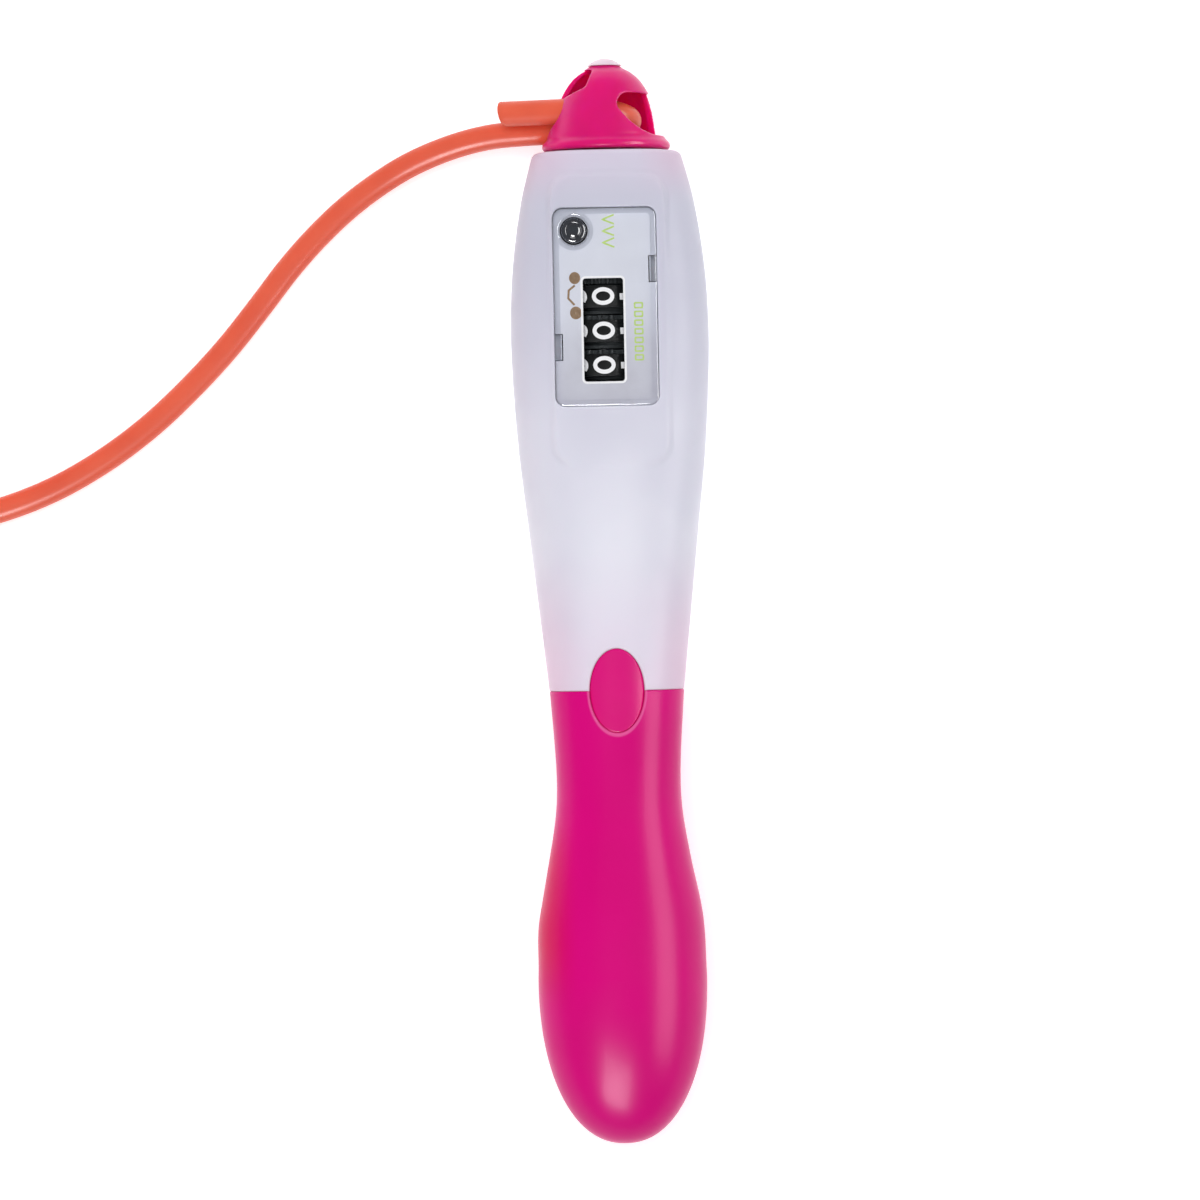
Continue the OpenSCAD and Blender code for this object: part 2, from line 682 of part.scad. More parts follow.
// a rocker: the button presses its arm, and three fingers swing to the heart cams
module reset_lever() {
    finger_y = [for (k = [0:2]) units_y - k * wheel_pitch - drum_w / 2 - cam_w / 2 + 0.02];
    finger = [1.2, 6.2];
    reach = norm(finger);
    color("gray") difference() {
        union() {
            rod(lever_axis, 1.5, [34.7, 63]);
            block([lever_axis[0], 59.4, lever_axis[1] - 0.8],
                  [lever_axis[0] + 4.2, 61.8, lever_axis[1] + 0.8]);
            for (y = finger_y) along_y(lever_axis, y + 0.22) rotate(azimuth(finger))
                linear_extrude(0.44) {
                    translate([0, -0.6]) square([reach, 1.2]);
                    translate([reach, 0]) circle(0.6, $fn = 24);
                }
        }
        rod(lever_axis, small_shaft_r + gap, [20, 70]);
    }
}

// ---------- rope ----------

LOOP_ARC = [for (i = [0:10]) let (a = wrap_from + (wrap_to - wrap_from) * i / 10)
    [wrap_r * cos(a), tail_y + (strand_y - tail_y) * i / 10, axis_z + wrap_r * sin(a)]];
LOOP = concat([LOOP_ARC[0] + tail_len * [cos(wrap_from + 90), 0, sin(wrap_from + 90)],
               LOOP_ARC[0] + tail_len / 2 * [cos(wrap_from + 90), 0, sin(wrap_from + 90)]],
              LOOP_ARC, [RUN[0] + [3, 0, 0.2], RUN[0]]);
module rope_loop() color("tomato") tube_along(LOOP, rope_r, 12, [0, 1, 0]);
module rope_run() color("tomato") tube_along(RUN, rope_r, 12, [0, 0, 1]);
module rope_coil() {
    color("tomato") translate([coil_at[0], coil_at[1], tie_t]) rotate_extrude()
        translate([coil_in, 0]) translate([coil_columns * rope_d / 2, coil_h / 2])
            rounded_rect([coil_columns * rope_d, coil_h], rope_r);
}
// a band round one place of the coil
module coil_tie() {
    size = [coil_columns * rope_d + tie_slack, coil_h];
    middle = coil_at[0] - (coil_d - tie_slack) / 2;
    color("white") translate([middle, coil_at[1] + tie_w / 2, tie_t + coil_h / 2])
        rotate([90, 0, 0]) linear_extrude(tie_w) difference() {
            rounded_rect(size + 2 * [tie_t, tie_t], rope_r + tie_t);
            rounded_rect(size, rope_r);
        }
}

front_shell();
rear_shell();
grip();
badge();
shell_screws();
grip_screw();
lens();
face_plate();
counter_frame();
frame_screws();
wheel_shaft();
pinion_shaft();
lever_shaft();
units_wheel();
tens_wheel();
hundreds_wheel();
transfer_pinion_1();
transfer_pinion_2();
detent_spring();
idler_gear();
idler_pinion();
spindle_pinion();
spindle();
spindle_clip();
spindle_bush();
thrust_washer();
rotor_cap();
reset_button();
button_spring();
reset_lever();
rope_loop();
rope_run();
rope_coil();
coil_tie();
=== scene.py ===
import json
import math

import bmesh
import bpy
import numpy as np
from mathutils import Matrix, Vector


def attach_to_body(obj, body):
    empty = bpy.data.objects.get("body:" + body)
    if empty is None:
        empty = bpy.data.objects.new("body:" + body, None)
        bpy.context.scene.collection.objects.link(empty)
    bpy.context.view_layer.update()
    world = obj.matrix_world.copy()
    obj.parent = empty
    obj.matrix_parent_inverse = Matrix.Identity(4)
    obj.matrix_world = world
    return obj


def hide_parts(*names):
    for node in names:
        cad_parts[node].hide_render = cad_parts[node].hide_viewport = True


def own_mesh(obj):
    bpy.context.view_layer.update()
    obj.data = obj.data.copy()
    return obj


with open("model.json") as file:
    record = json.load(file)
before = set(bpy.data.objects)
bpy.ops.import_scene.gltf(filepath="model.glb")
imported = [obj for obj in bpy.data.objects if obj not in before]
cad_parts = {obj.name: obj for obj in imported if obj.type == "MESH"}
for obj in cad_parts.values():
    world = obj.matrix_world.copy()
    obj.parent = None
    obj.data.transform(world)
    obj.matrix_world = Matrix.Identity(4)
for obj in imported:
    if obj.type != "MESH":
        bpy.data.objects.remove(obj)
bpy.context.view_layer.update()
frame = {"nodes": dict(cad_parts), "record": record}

NODES = frame["nodes"]
MM = 0.001
SCENE = bpy.context.scene

# ---------- camera ----------

TILT = math.radians(1.15)
camera = bpy.data.objects.new("camera", bpy.data.cameras.new("camera"))
camera.data.lens = 214.5
camera.data.sensor_width = 36
camera.location = (-0.0025, 0.0002, 1.193)
camera.rotation_euler = (0, 0, -TILT)
SCENE.collection.objects.link(camera)
SCENE.camera = camera


# ---------- sizes that several parts share, in millimetres ----------

AXIS_Z = 13.0
END_Y, JOINT_Y, HEAD_Y = -89.5, -14.7, 73.9  # the grip's end, where grip and shells meet, the head's foot
FRONT_PLANE = 25.6
BADGE_SEAT = (4.5, 6.9)  # half width and half height of the oval
BUTTON_AT = (-5.6, 60.6)
LENS = (-0.6, 48.1, 16.8, 32.3)  # middle x and y, width, height
ROPE_R = 2.1


# ---------- node materials: scales are per metre, depths in metres ----------

MICRON = 1e-6


class Nodes:
    """Builds one material's nodes, with values set on the sockets themselves."""

    def __init__(self, name):
        self.mat = bpy.data.materials.new(name)
        self.mat.use_nodes = True
        self.tree = self.mat.node_tree
        self.tree.nodes.clear()
        self.coords = self.add("ShaderNodeTexCoord").outputs["Object"]
        self.out = self.add("ShaderNodeOutputMaterial")

    def add(self, kind, links=None, **values):
        """A node, with its links given by socket, and its values by socket or by property."""
        node = self.tree.nodes.new(kind)
        for key, value in values.items():
            if key in node.inputs:
                node.inputs[key].default_value = value
            else:
                setattr(node, key, value)
        for key, source in (links or {}).items():
            self.tree.links.new(source, node.inputs[key])
        return node

    def noise(self, scale, detail=4, rough=0.55, stretch=None):
        source = self.coords
        if stretch:
            source = self.add("ShaderNodeMapping", {"Vector": source}, Scale=stretch).outputs[0]
        return self.add("ShaderNodeTexNoise", {"Vector": source}, Scale=scale, Detail=detail,
                        Roughness=rough).outputs["Fac"]

    def ramp(self, source, low, high, a, b):
        """Maps low..high of a value onto a..b, smoothly and clamped."""
        node = self.add("ShaderNodeMapRange", {"Value": source}, interpolation_type="SMOOTHSTEP")
        for key, value in zip(("From Min", "From Max", "To Min", "To Max"), (low, high, a, b)):
            node.inputs[key].default_value = value
        return node.outputs[0]

    def math(self, operation, *sources):
        links = dict(enumerate(sources))
        return self.add("ShaderNodeMath", links, operation=operation).outputs[0]

    def times(self, *factors):
        product = factors[0]
        for factor in factors[1:]:
            product = self.math("MULTIPLY", product, factor)
        return product

    def mix(self, fac, a, b):
        """Mixes two colours, each given as a tuple or as a socket."""
        node = self.add("ShaderNodeMix", data_type="RGBA")
        self.tree.links.new(fac, node.inputs["Factor"])
        for key, value in (("A", a), ("B", b)):
            socket = [s for s in node.inputs if s.name == key and s.type == "RGBA"][0]
            if isinstance(value, tuple):
                socket.default_value = (*value, 1)
            else:
                self.tree.links.new(value, socket)
        return [s for s in node.outputs if s.type == "RGBA"][0]

    def axis(self, letter):
        return self.add("ShaderNodeSeparateXYZ", {"Vector": self.coords}).outputs[letter]

    def bump(self, height, distance):
        return self.add("ShaderNodeBump", {"Height": height}, Distance=distance).outputs[0]

    def principled(self, colour, gloss, skin, sockets):
        """The finished material. Numbers that are the same all over are set on the shader itself."""
        links = {"Base Color": colour, "Normal": skin}
        if gloss is not None:
            links["Roughness"] = gloss
        shader = self.add("ShaderNodeBsdfPrincipled", links)
        for key, value in sockets.items():
            shader.inputs[key].default_value = value
        return self.finish(shader.outputs[0])

    def finish(self, shader):
        self.tree.links.new(shader, self.out.inputs["Surface"])
        return self.mat


def srgb(r, g, b):
    def line(c):
        c /= 255
        return c / 12.92 if c <= 0.04045 else ((c + 0.055) / 1.055) ** 2.4
    return line(r), line(g), line(b)


def plastic(name, a, b, rough, grain, depth, patch, sss=0.0, coat=0.0, coat_rough=0.1, specular=0.5):
    """Moulded plastic: two close colours in soft patches, uneven gloss and a fine skin."""
    n = Nodes(name)
    colour = n.mix(n.ramp(n.noise(patch, 2), 0.25, 0.75, 0, 1), srgb(*a), srgb(*b))
    gloss = n.ramp(n.noise(patch * 2, 2), 0.2, 0.8, *rough)
    skin = n.bump(n.noise(grain, 2), depth * MICRON)
    return n.principled(colour, gloss, skin, {
        "Subsurface Weight": sss, "Subsurface Radius": (1, 0.5, 0.5) if sss else (1, 1, 1),
        "Subsurface Scale": 0.002, "Coat Weight": coat, "Coat Roughness": coat_rough,
        "Specular IOR Level": specular})


def metal(name, colour, rough, grain):
    n = Nodes(name)
    streak = n.noise(grain, 4, 0.6, (1, 0.15, 1))
    gloss = n.ramp(streak, 0.3, 0.7, *rough)
    tint = n.mix(n.ramp(n.noise(200), 0.35, 0.65, 0, 1), colour, tuple(c * 0.86 for c in colour))
    return n.principled(tint, gloss, n.bump(streak, 4 * MICRON), {"Metallic": 1})


def shell_material():
    """White, slightly translucent body plastic, with light and shade painted in: greyer towards the head
    (painted shade), lighter along the middle of its lower part (painted light), and pink beside grip and
    head (a painted pink glow of their light showing through).
    """
    n = Nodes("shell_white")
    y = n.axis("Y")
    # painted light: a pink glow near the grip and the head, as if their light showed through the shell
    pink_glow = n.math("MAXIMUM", n.ramp(y, 0.012, JOINT_Y * MM, 0, 0.55),
                    n.ramp(y, 0.064, HEAD_Y * MM, 0, 0.4))
    base = n.mix(n.ramp(n.noise(30, 3), 0.35, 0.65, 0, 1), srgb(229, 228, 240), srgb(220, 219, 233))
    off_middle = n.math("ABSOLUTE", n.axis("X"))
    # painted light: the middle of the lower body lighter, where it faces up to the light
    lit_middle = n.mix(n.ramp(off_middle, 0.009, 0.001, 0, 0.75), base, srgb(239, 238, 250))
    lower = n.mix(n.ramp(y, 0.03, 0.006, 0, 1), base, lit_middle)
    # painted shade: greyer from the counter up towards the head
    greyer = n.mix(n.ramp(y, 0.016, 0.062, 0, 0.85), lower, srgb(200, 200, 216))
    # the painted pink glow's colours, pinker towards the sides
    pink = n.mix(n.ramp(n.noise(70, 3), 0.3, 0.7, 0, 1), srgb(232, 208, 230), srgb(226, 214, 233))
    pinker = n.mix(n.ramp(off_middle, 0.004, 0.0115, 0, 1), pink, srgb(234, 184, 212))
    return n.principled(
        n.mix(pink_glow, greyer, pinker), n.ramp(n.noise(260, 5), 0.3, 0.7, 0.34, 0.46),
        n.bump(n.noise(1400, 3), 3 * MICRON),
        {"Subsurface Weight": 0.25, "Subsurface Radius": (1, 0.8, 0.9), "Subsurface Scale": 0.002,
         "Specular IOR Level": 0.1})


def grip_material():
    """Pink plastic, with light painted in: redder on its left side, a painted reflection of a red glow, and
    a lighter lip round the badge, a painted highlight.
    """
    n = Nodes("grip_pink")
    x, y, z = n.axis("X"), n.axis("Y"), n.axis("Z")
    base = n.mix(n.ramp(n.noise(50, 2), 0.25, 0.75, 0, 1), srgb(221, 1, 127), srgb(213, 1, 120))
    # painted reflection: the left side turns redder, standing in for a red glow mirrored there
    red_glow = n.times(n.ramp(x, -0.0065, -0.013, 0, 0.65), n.ramp(y, -0.033, -0.043, 0, 1),
                      n.ramp(y, -0.068, -0.056, 0, 1))
    redder = n.mix(red_glow, base, srgb(216, 0, 58))
    rx, ry = BADGE_SEAT[0] * MM, BADGE_SEAT[1] * MM
    from_badge = n.add("ShaderNodeMapping", {"Vector": n.coords}, Location=(0, -JOINT_Y * MM / ry, 0),
                       Scale=(1 / rx, 1 / ry, 0)).outputs[0]
    ovals = n.add("ShaderNodeVectorMath", {0: from_badge}, operation="LENGTH").outputs["Value"]
    # painted highlight: lighter pink on the rim round the badge's seat, on the front only
    rim_highlight = n.times(n.ramp(ovals, 0.985, 1.015, 0, 0.5), n.ramp(ovals, 1.12, 1.06, 0, 1),
                  n.ramp(z, 0.018, 0.02, 0, 1))
    return n.principled(
        n.mix(rim_highlight, redder, srgb(244, 122, 184)), n.ramp(n.noise(100, 2), 0.2, 0.8, 0.29, 0.36),
        n.bump(n.noise(500, 2), 1.5 * MICRON),
        {"Coat Weight": 0.02, "Coat Roughness": 0.15, "Specular IOR Level": 0.08})


def plate_material():
    """The white face plate, greyer towards its lower end, where less light comes in."""
    n = Nodes("plate_white")
    white = n.mix(n.ramp(n.noise(160, 2), 0.25, 0.75, 0, 1), srgb(214, 217, 228), srgb(208, 211, 222))
    # painted shade: the greyer colours that the plate fades to towards its lower end
    shaded_grey = n.mix(n.ramp(n.noise(220, 3), 0.25, 0.75, 0, 1), srgb(188, 188, 199), srgb(196, 197, 208))
    return n.principled(
        n.mix(n.ramp(n.axis("Y"), 0.052, 0.036, 0, 1), white, shaded_grey),
        n.ramp(n.noise(320, 2), 0.2, 0.8, 0.4, 0.5), n.bump(n.noise(1500, 2), 3 * MICRON),
        {"Specular IOR Level": 0.3})


def clear_material(name, haze, through):
    """Clear plastic as a thin window: it reflects more at a slant, and lets the rest through."""
    n = Nodes(name)
    slant = n.add("ShaderNodeLayerWeight", Blend=0.5).outputs["Facing"]
    steep = n.add("ShaderNodeMath", {0: slant}, operation="POWER")
    steep.inputs[1].default_value = 5
    smear = n.ramp(n.noise(500, 4), 0.35, 0.7, 0.02, 0.08)
    gloss = n.add("ShaderNodeBsdfAnisotropic",
                  {"Roughness": smear, "Normal": n.bump(n.noise(120, 2), 10 * MICRON)},
                  Color=(0.95, 0.96, 0.98, 1))
    see = n.add("ShaderNodeBsdfTransparent", Color=(*through, 1))
    share = n.ramp(steep.outputs[0], 0, 1, haze, 1)
    mixed = n.add("ShaderNodeMixShader", {0: share, 1: see.outputs[0], 2: gloss.outputs[0]})
    return n.finish(mixed.outputs[0])


# two colours, roughness, grain scale, grain depth in microns, patch scale. Roughness stays on one side
# of 0.274 in each, because the renderer's denoiser shows an outline where it crosses that.
PLASTICS = {
    "badge_pink": ((224, 12, 126), (217, 8, 120), (0.3, 0.38), 700, 2, 120),
    "head_pink": ((224, 10, 121), (214, 8, 114), (0.29, 0.36), 700, 2, 120),
    "lens_hook": ((196, 198, 209), (186, 188, 200), (0.2, 0.26), 900, 3, 300),
    "wheel_black": ((11, 13, 14), (17, 19, 20), (0.4, 0.5), 2200, 3, 300),
    "wheel_grey": ((60, 64, 66), (50, 54, 56), (0.42, 0.52), 2200, 3, 300),
    "digit_white": ((246, 246, 247), (236, 237, 239), (0.42, 0.52), 3000, 2, 600),
    "works_ivory": ((236, 230, 212), (226, 219, 198), (0.35, 0.45), 1500, 5, 200),
    "works_grey": ((204, 206, 210), (190, 192, 198), (0.4, 0.5), 1500, 6, 200),
    "button_black": ((34, 38, 47), (26, 30, 38), (0.1, 0.18), 2500, 2, 500),
    "pin_white": ((236, 214, 226), (228, 202, 216), (0.29, 0.37), 1500, 4, 300),
    "rope_orange": ((233, 101, 74), (225, 92, 67), (0.3, 0.4), 700, 4, 90),
    "tie_white": ((232, 232, 228), (222, 222, 217), (0.5, 0.62), 1800, 20, 300),
    "print_green": ((176, 206, 104), (190, 214, 128), (0.45, 0.55), 3000, 2, 1500),
    "print_brown": ((150, 124, 96), (132, 106, 82), (0.45, 0.55), 3000, 2, 1500),
}
GLOSS = {
    "badge_pink": dict(coat=0.05, coat_rough=0.2, specular=0.13),
    "head_pink": dict(sss=0.85, coat=0.12, coat_rough=0.16, specular=0.2),
    "lens_hook": dict(sss=0.2),
    "wheel_black": dict(specular=0.16),
    "wheel_grey": dict(specular=0.3),
    "digit_white": dict(specular=0.3),
    "works_ivory": dict(sss=0.1),
    "button_black": dict(coat=0.8, coat_rough=0.05),
    "pin_white": dict(sss=0.2),
    "rope_orange": dict(sss=0.12, coat=0.05, coat_rough=0.2, specular=0.2),
    "print_green": dict(specular=0.3),
    "print_brown": dict(specular=0.3),
}
MAT = {name: plastic(name, *look, **GLOSS.get(name, {})) for name, look in PLASTICS.items()}
MAT["shell_white"] = shell_material()
MAT["grip_pink"] = grip_material()
MAT["plate_white"] = plate_material()
MAT["lens_clear"] = clear_material("lens_clear", 0.0, (0.996, 0.996, 0.998))
MAT["lens_edge"] = clear_material("lens_edge", 0.07, (0.91, 0.914, 0.925))
MAT["steel"] = metal("steel", (0.62, 0.62, 0.64), (0.18, 0.26), 2500)


# ---------- mesh helpers, all in millimetres ----------

SHARP_FROM = 32


def make(name, verts, faces, slot, body=None, angle=SHARP_FROM, replaces=()):
    """A mesh object from points in millimetres, shaded smooth below the angle in degrees."""
    mesh = bpy.data.meshes.new(name)
    mesh.from_pydata((np.asarray(verts, float) * MM).tolist(), [], faces)
    mesh.materials.append(MAT[slot])
    piece = bpy.data.objects.new(name, mesh)
    SCENE.collection.objects.link(piece)
    smooth(mesh, angle)
    if body:
        attach(piece, body, replaces)
    return piece


def attach(piece, body, replaces=()):
    """Says which body the piece rides on, and the CAD nodes it stands for."""
    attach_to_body(piece, body)
    if replaces:
        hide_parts(*replaces)


def smooth(mesh, angle):
    mesh.shade_smooth()
    mesh.set_sharp_from_angle(angle=math.radians(angle))


def paint(piece, *slots):
    """Gives the piece these materials in place of its own."""
    piece.data.materials.clear()
    for slot in slots:
        piece.data.materials.append(MAT[slot])


def rings_solid(rings):
    """Points and faces of a closed solid through rings of equal length, with flat ends."""
    n, k = len(rings[0]), len(rings)
    verts = np.concatenate([np.asarray(r, float) for r in rings])
    faces = [list(range(n))[::-1], [(k - 1) * n + i for i in range(n)]]
    for a in range(k - 1):
        for i in range(n):
            j = (i + 1) % n
            faces.append([a * n + i, a * n + j, (a + 1) * n + j, (a + 1) * n + i])
    return verts, faces


def outward(piece):
    bm = bmesh.new()
    bm.from_mesh(piece.data)
    bmesh.ops.recalc_face_normals(bm, faces=bm.faces)
    bm.to_mesh(piece.data)
    bm.free()
    return piece


def applied(piece):
    """Turns the piece's modifiers into mesh."""
    graph = bpy.context.evaluated_depsgraph_get()
    mesh = bpy.data.meshes.new_from_object(piece.evaluated_get(graph))
    piece.modifiers.clear()
    piece.data = mesh
    smooth(mesh, SHARP_FROM)
    return piece


def combine(piece, tools, operation="DIFFERENCE"):
    """Cuts the tools from the piece, or joins them to it, and removes them."""
    for tool in tools:
        step = piece.modifiers.new("cut", "BOOLEAN")
        step.operation, step.object, step.solver = operation, tool, "EXACT"
    applied(piece)
    for tool in tools:
        bpy.data.objects.remove(tool)
    return piece


def solid(rings, name="tool", slot="works_grey"):
    verts, faces = rings_solid(rings)
    return outward(make(name, verts, faces, slot))


def oval(cx, cy, rx, ry, n=96):
    t = np.linspace(0, 2 * math.pi, n, endpoint=False)
    return np.stack([cx + rx * np.cos(t), cy + ry * np.sin(t)], 1)


def circle(cx, cy, r, n):
    return oval(cx, cy, r, r, n)


def rounded(cx, cy, w, h, r, corner=10):
    """A rounded rectangle's outline, anticlockwise."""
    points = []
    for q, (sx, sy) in enumerate(((1, 1), (-1, 1), (-1, -1), (1, -1))):
        for t in np.linspace(0, math.pi / 2, corner):
            a = t + q * math.pi / 2
            points.append((cx + sx * (w / 2 - r) + r * math.cos(a),
                           cy + sy * (h / 2 - r) + r * math.sin(a)))
    return np.array(points)


def raised(outline, z):
    """The outline as points at one height, or at a height for each point."""
    return np.column_stack([outline, np.broadcast_to(z, len(outline))])


def prism(outline, z0, z1):
    return solid([raised(outline, z) for z in (z0, z1)])


def level(z):
    """The height of a flat surface, as a function of places on it."""
    return lambda x, y: np.full(len(x), z)


def fillet_cutter(shape, top, bottom, r, up=1):
    """A cutter whose mouth flares by a radius onto a surface. shape(offset) is the outline, top(x, y)
    the surface's height, bottom the far end, and up -1 for a surface that faces down."""
    steps, rise, flare = 6, 3, 1.3
    base = shape(0)
    zs = top(base[:, 0], base[:, 1])
    rings = [raised(base, bottom), raised(base, zs - up * r)]
    for k in range(1, steps + 1):
        a = k / steps * math.pi / 2
        out = shape(r * (1 - math.cos(a)))
        rings.append(raised(out, zs - up * r * (1 - math.sin(a))))
    rings.append(raised(shape(r * flare), zs + up * rise))
    return solid(rings)


SMALLEST_R = 0.001


def lathe(profile, centre, n, axis="Y"):
    """Rings from [radius, height] points turned about an axis through the centre."""
    cx, cy, cz = centre
    t = np.linspace(0, 2 * math.pi, n, endpoint=False)
    rings = []
    for r, h in profile:
        r = max(r, SMALLEST_R)
        if axis == "Y":
            rings.append(np.column_stack([cx + r * np.cos(t), np.full(n, cy + h), cz + r * np.sin(t)]))
        else:
            rings.append(np.column_stack([cx + r * np.cos(t), cy + r * np.sin(t), np.full(n, cz + h)]))
    return rings


def tube(path, r, sides, up=(0, 0, 1)):
    """Rings of a round tube along a path, without twist."""
    path = np.asarray(path, float)
    tangent = np.gradient(path, axis=0)
    tangent /= np.linalg.norm(tangent, axis=1)[:, None]
    side = np.cross(tangent[0], up)
    side /= np.linalg.norm(side)
    t = np.linspace(0, 2 * math.pi, sides, endpoint=False)
    rings = []
    for p, f in zip(path, tangent):
        side = side - f * np.dot(side, f)
        side /= np.linalg.norm(side)
        other = np.cross(f, side)
        rings.append(p + r * (np.cos(t)[:, None] * side + np.sin(t)[:, None] * other))
    return rings


SPLINE_STEPS = 14


def spline(points, step):
    """A smooth curve through points, centripetal, resampled at even steps."""
    p = np.asarray(points, float)
    p = np.vstack([2 * p[0] - p[1], p, 2 * p[-1] - p[-2]])
    fine = []
    for i in range(1, len(p) - 2):
        a, b, c, d = p[i - 1:i + 3]
        t0 = 0
        t1 = t0 + np.linalg.norm(b - a) ** 0.5
        t2 = t1 + np.linalg.norm(c - b) ** 0.5
        t3 = t2 + np.linalg.norm(d - c) ** 0.5
        for t in np.linspace(t1, t2, SPLINE_STEPS, endpoint=False):
            ab = (t1 - t) / (t1 - t0) * a + (t - t0) / (t1 - t0) * b
            bc = (t2 - t) / (t2 - t1) * b + (t - t1) / (t2 - t1) * c
            cd = (t3 - t) / (t3 - t2) * c + (t - t2) / (t3 - t2) * d
            abc = (t2 - t) / (t2 - t0) * ab + (t - t0) / (t2 - t0) * bc
            bcd = (t3 - t) / (t3 - t1) * bc + (t - t1) / (t3 - t1) * cd
            fine.append((t2 - t) / (t2 - t1) * abc + (t - t1) / (t2 - t1) * bcd)
    fine.append(p[-2])
    fine = np.array(fine)
    along = np.concatenate([[0], np.cumsum(np.linalg.norm(np.diff(fine, axis=0), axis=1))])
    at = np.linspace(0, along[-1], max(2, int(round(along[-1] / step)) + 1))
    return np.column_stack([np.interp(at, along, fine[:, k]) for k in range(3)])


def even(points, step):
    """A broken line's points at even steps, its corners kept."""
    out = []
    for a, b in zip(points[:-1], points[1:]):
        n = max(1, int(math.dist(a, b) / step))
        out += [tuple(np.array(a) + (np.array(b) - a) * i / n) for i in range(n)]
    return np.array(out + [points[-1]])


# ---------- rope: its held part in the head, and the free cord with its coil ----------

TAIL_LEN = 16.6
TAIL_Y, STRAND_Y = 80.8, 77.8
WRAP_R = 3.85
WRAP_FROM, WRAP_TO, WRAP_STEPS = 110, -90, 20  # degrees round the spindle
RUN = [[-7, 77.8, 8.9], [-10, 77.8, 8.7], [-14, 77.7, 7.9], [-18.6, 77.4, 7], [-23, 76.6, 6],
       [-28, 75.1, 4.8], [-33, 73, 3.8], [-38, 70.1, 3], [-43, 66.5, 2.5], [-48, 62, 2.3],
       [-53, 56.6, 2.3], [-58, 50.3, 2.3], [-63.5, 43.6, 2.3], [-70, 36.8, 2.3], [-77, 30.5, 2.3],
       [-85, 24.8, 2.3], [-94, 20, 2.4], [-104, 16.6, 2.5], [-114, 14.9, 2.6], [-125, 14.5, 2.7]]
COIL_AT = (-140.0, 48.1)
COIL_IN, COIL_OUT = 16.8, 33.6
COIL_LOW = 2.7
TURNS_IN_LAYER, LAYERS = 4, 4
RISE = 60  # degrees in which the rope climbs from a layer to the next


def held_path():
    """The part that the head holds: a short tail and a wrap round the spindle."""
    turn = np.radians(np.linspace(WRAP_FROM, WRAP_TO, WRAP_STEPS + 1))
    wrap = [[WRAP_R * math.cos(a), TAIL_Y + (STRAND_Y - TAIL_Y) * i / WRAP_STEPS,
             AXIS_Z + WRAP_R * math.sin(a)] for i, a in enumerate(turn)]
    tangent = math.radians(WRAP_FROM + 90)
    back = np.array([math.cos(tangent), 0, math.sin(tangent)])
    tail = [np.array(wrap[0]) + TAIL_LEN * share * back for share in (1, 0.75, 0.5, 0.25)]
    return spline([*tail, *wrap, [-4, STRAND_Y, 9.1], RUN[0]], 0.8)


def coil_points():
    """Flat spirals on each other, wound in and out by turns, with a rise between two of them."""
    points, step = [], 10
    angle, z = -90.0, COIL_LOW
    count = TURNS_IN_LAYER * 360 // step
    for layer in range(LAYERS):
        r0, r1 = (COIL_OUT, COIL_IN) if layer % 2 == 0 else (COIL_IN, COIL_OUT)
        for i in range(count + 1):
            points.append((angle - i * step, r0 + (r1 - r0) * i / count, z))
        angle -= count * step
        if layer < LAYERS - 1:
            for i in range(1, RISE // step):
                s = i * step / RISE
                points.append((angle - i * step, r1, z + 2 * ROPE_R * s * s * (3 - 2 * s)))
            angle -= RISE
            z += 2 * ROPE_R
    return [[COIL_AT[0] + r * math.cos(math.radians(a)), COIL_AT[1] + r * math.sin(math.radians(a)), z]
            for a, r, z in points]


def cut_end(centre, ring, out, shares):
    """Rings that close a cut end softly, each a share of the ring, some way out from it."""
    return [centre + (ring - centre) * share + out * d for share, d in shares]


def rope_piece(name, path, replaced, slant=0.0):
    """A round rope with soft cut ends, the first of them cut a little aslant."""
    rings = tube(path, ROPE_R, 20, (0, 1, 0))
    first, last = np.array(rings[0]), np.array(rings[-1])
    forward = (path[1] - path[0]) / np.linalg.norm(path[1] - path[0])
    away = (path[-1] - path[-2]) / np.linalg.norm(path[-1] - path[-2])
    rings[0] = first - ((first - path[0]) @ np.array([0, 1, 0.3]))[:, None] * slant * forward
    face = cut_end(path[0], rings[0], -forward, ((0.01, 0.14), (0.5, 0.17), (0.9, 0.14)))
    close = cut_end(path[-1], last, away, ((0.93, 0.12), (0.5, 0.16), (0.01, 0.12)))
    verts, faces = rings_solid(face + rings + close)
    return outward(make(name, verts, faces, "rope_orange", "rotor", 60, replaced))


rope_held = held_path()
rope_piece("rope_held", rope_held, ("rope_loop",), 0.18)
rope_line = spline(RUN + coil_points(), 1.3)
rope = rope_piece("rope", rope_line, ("rope_run", "rope_coil"))


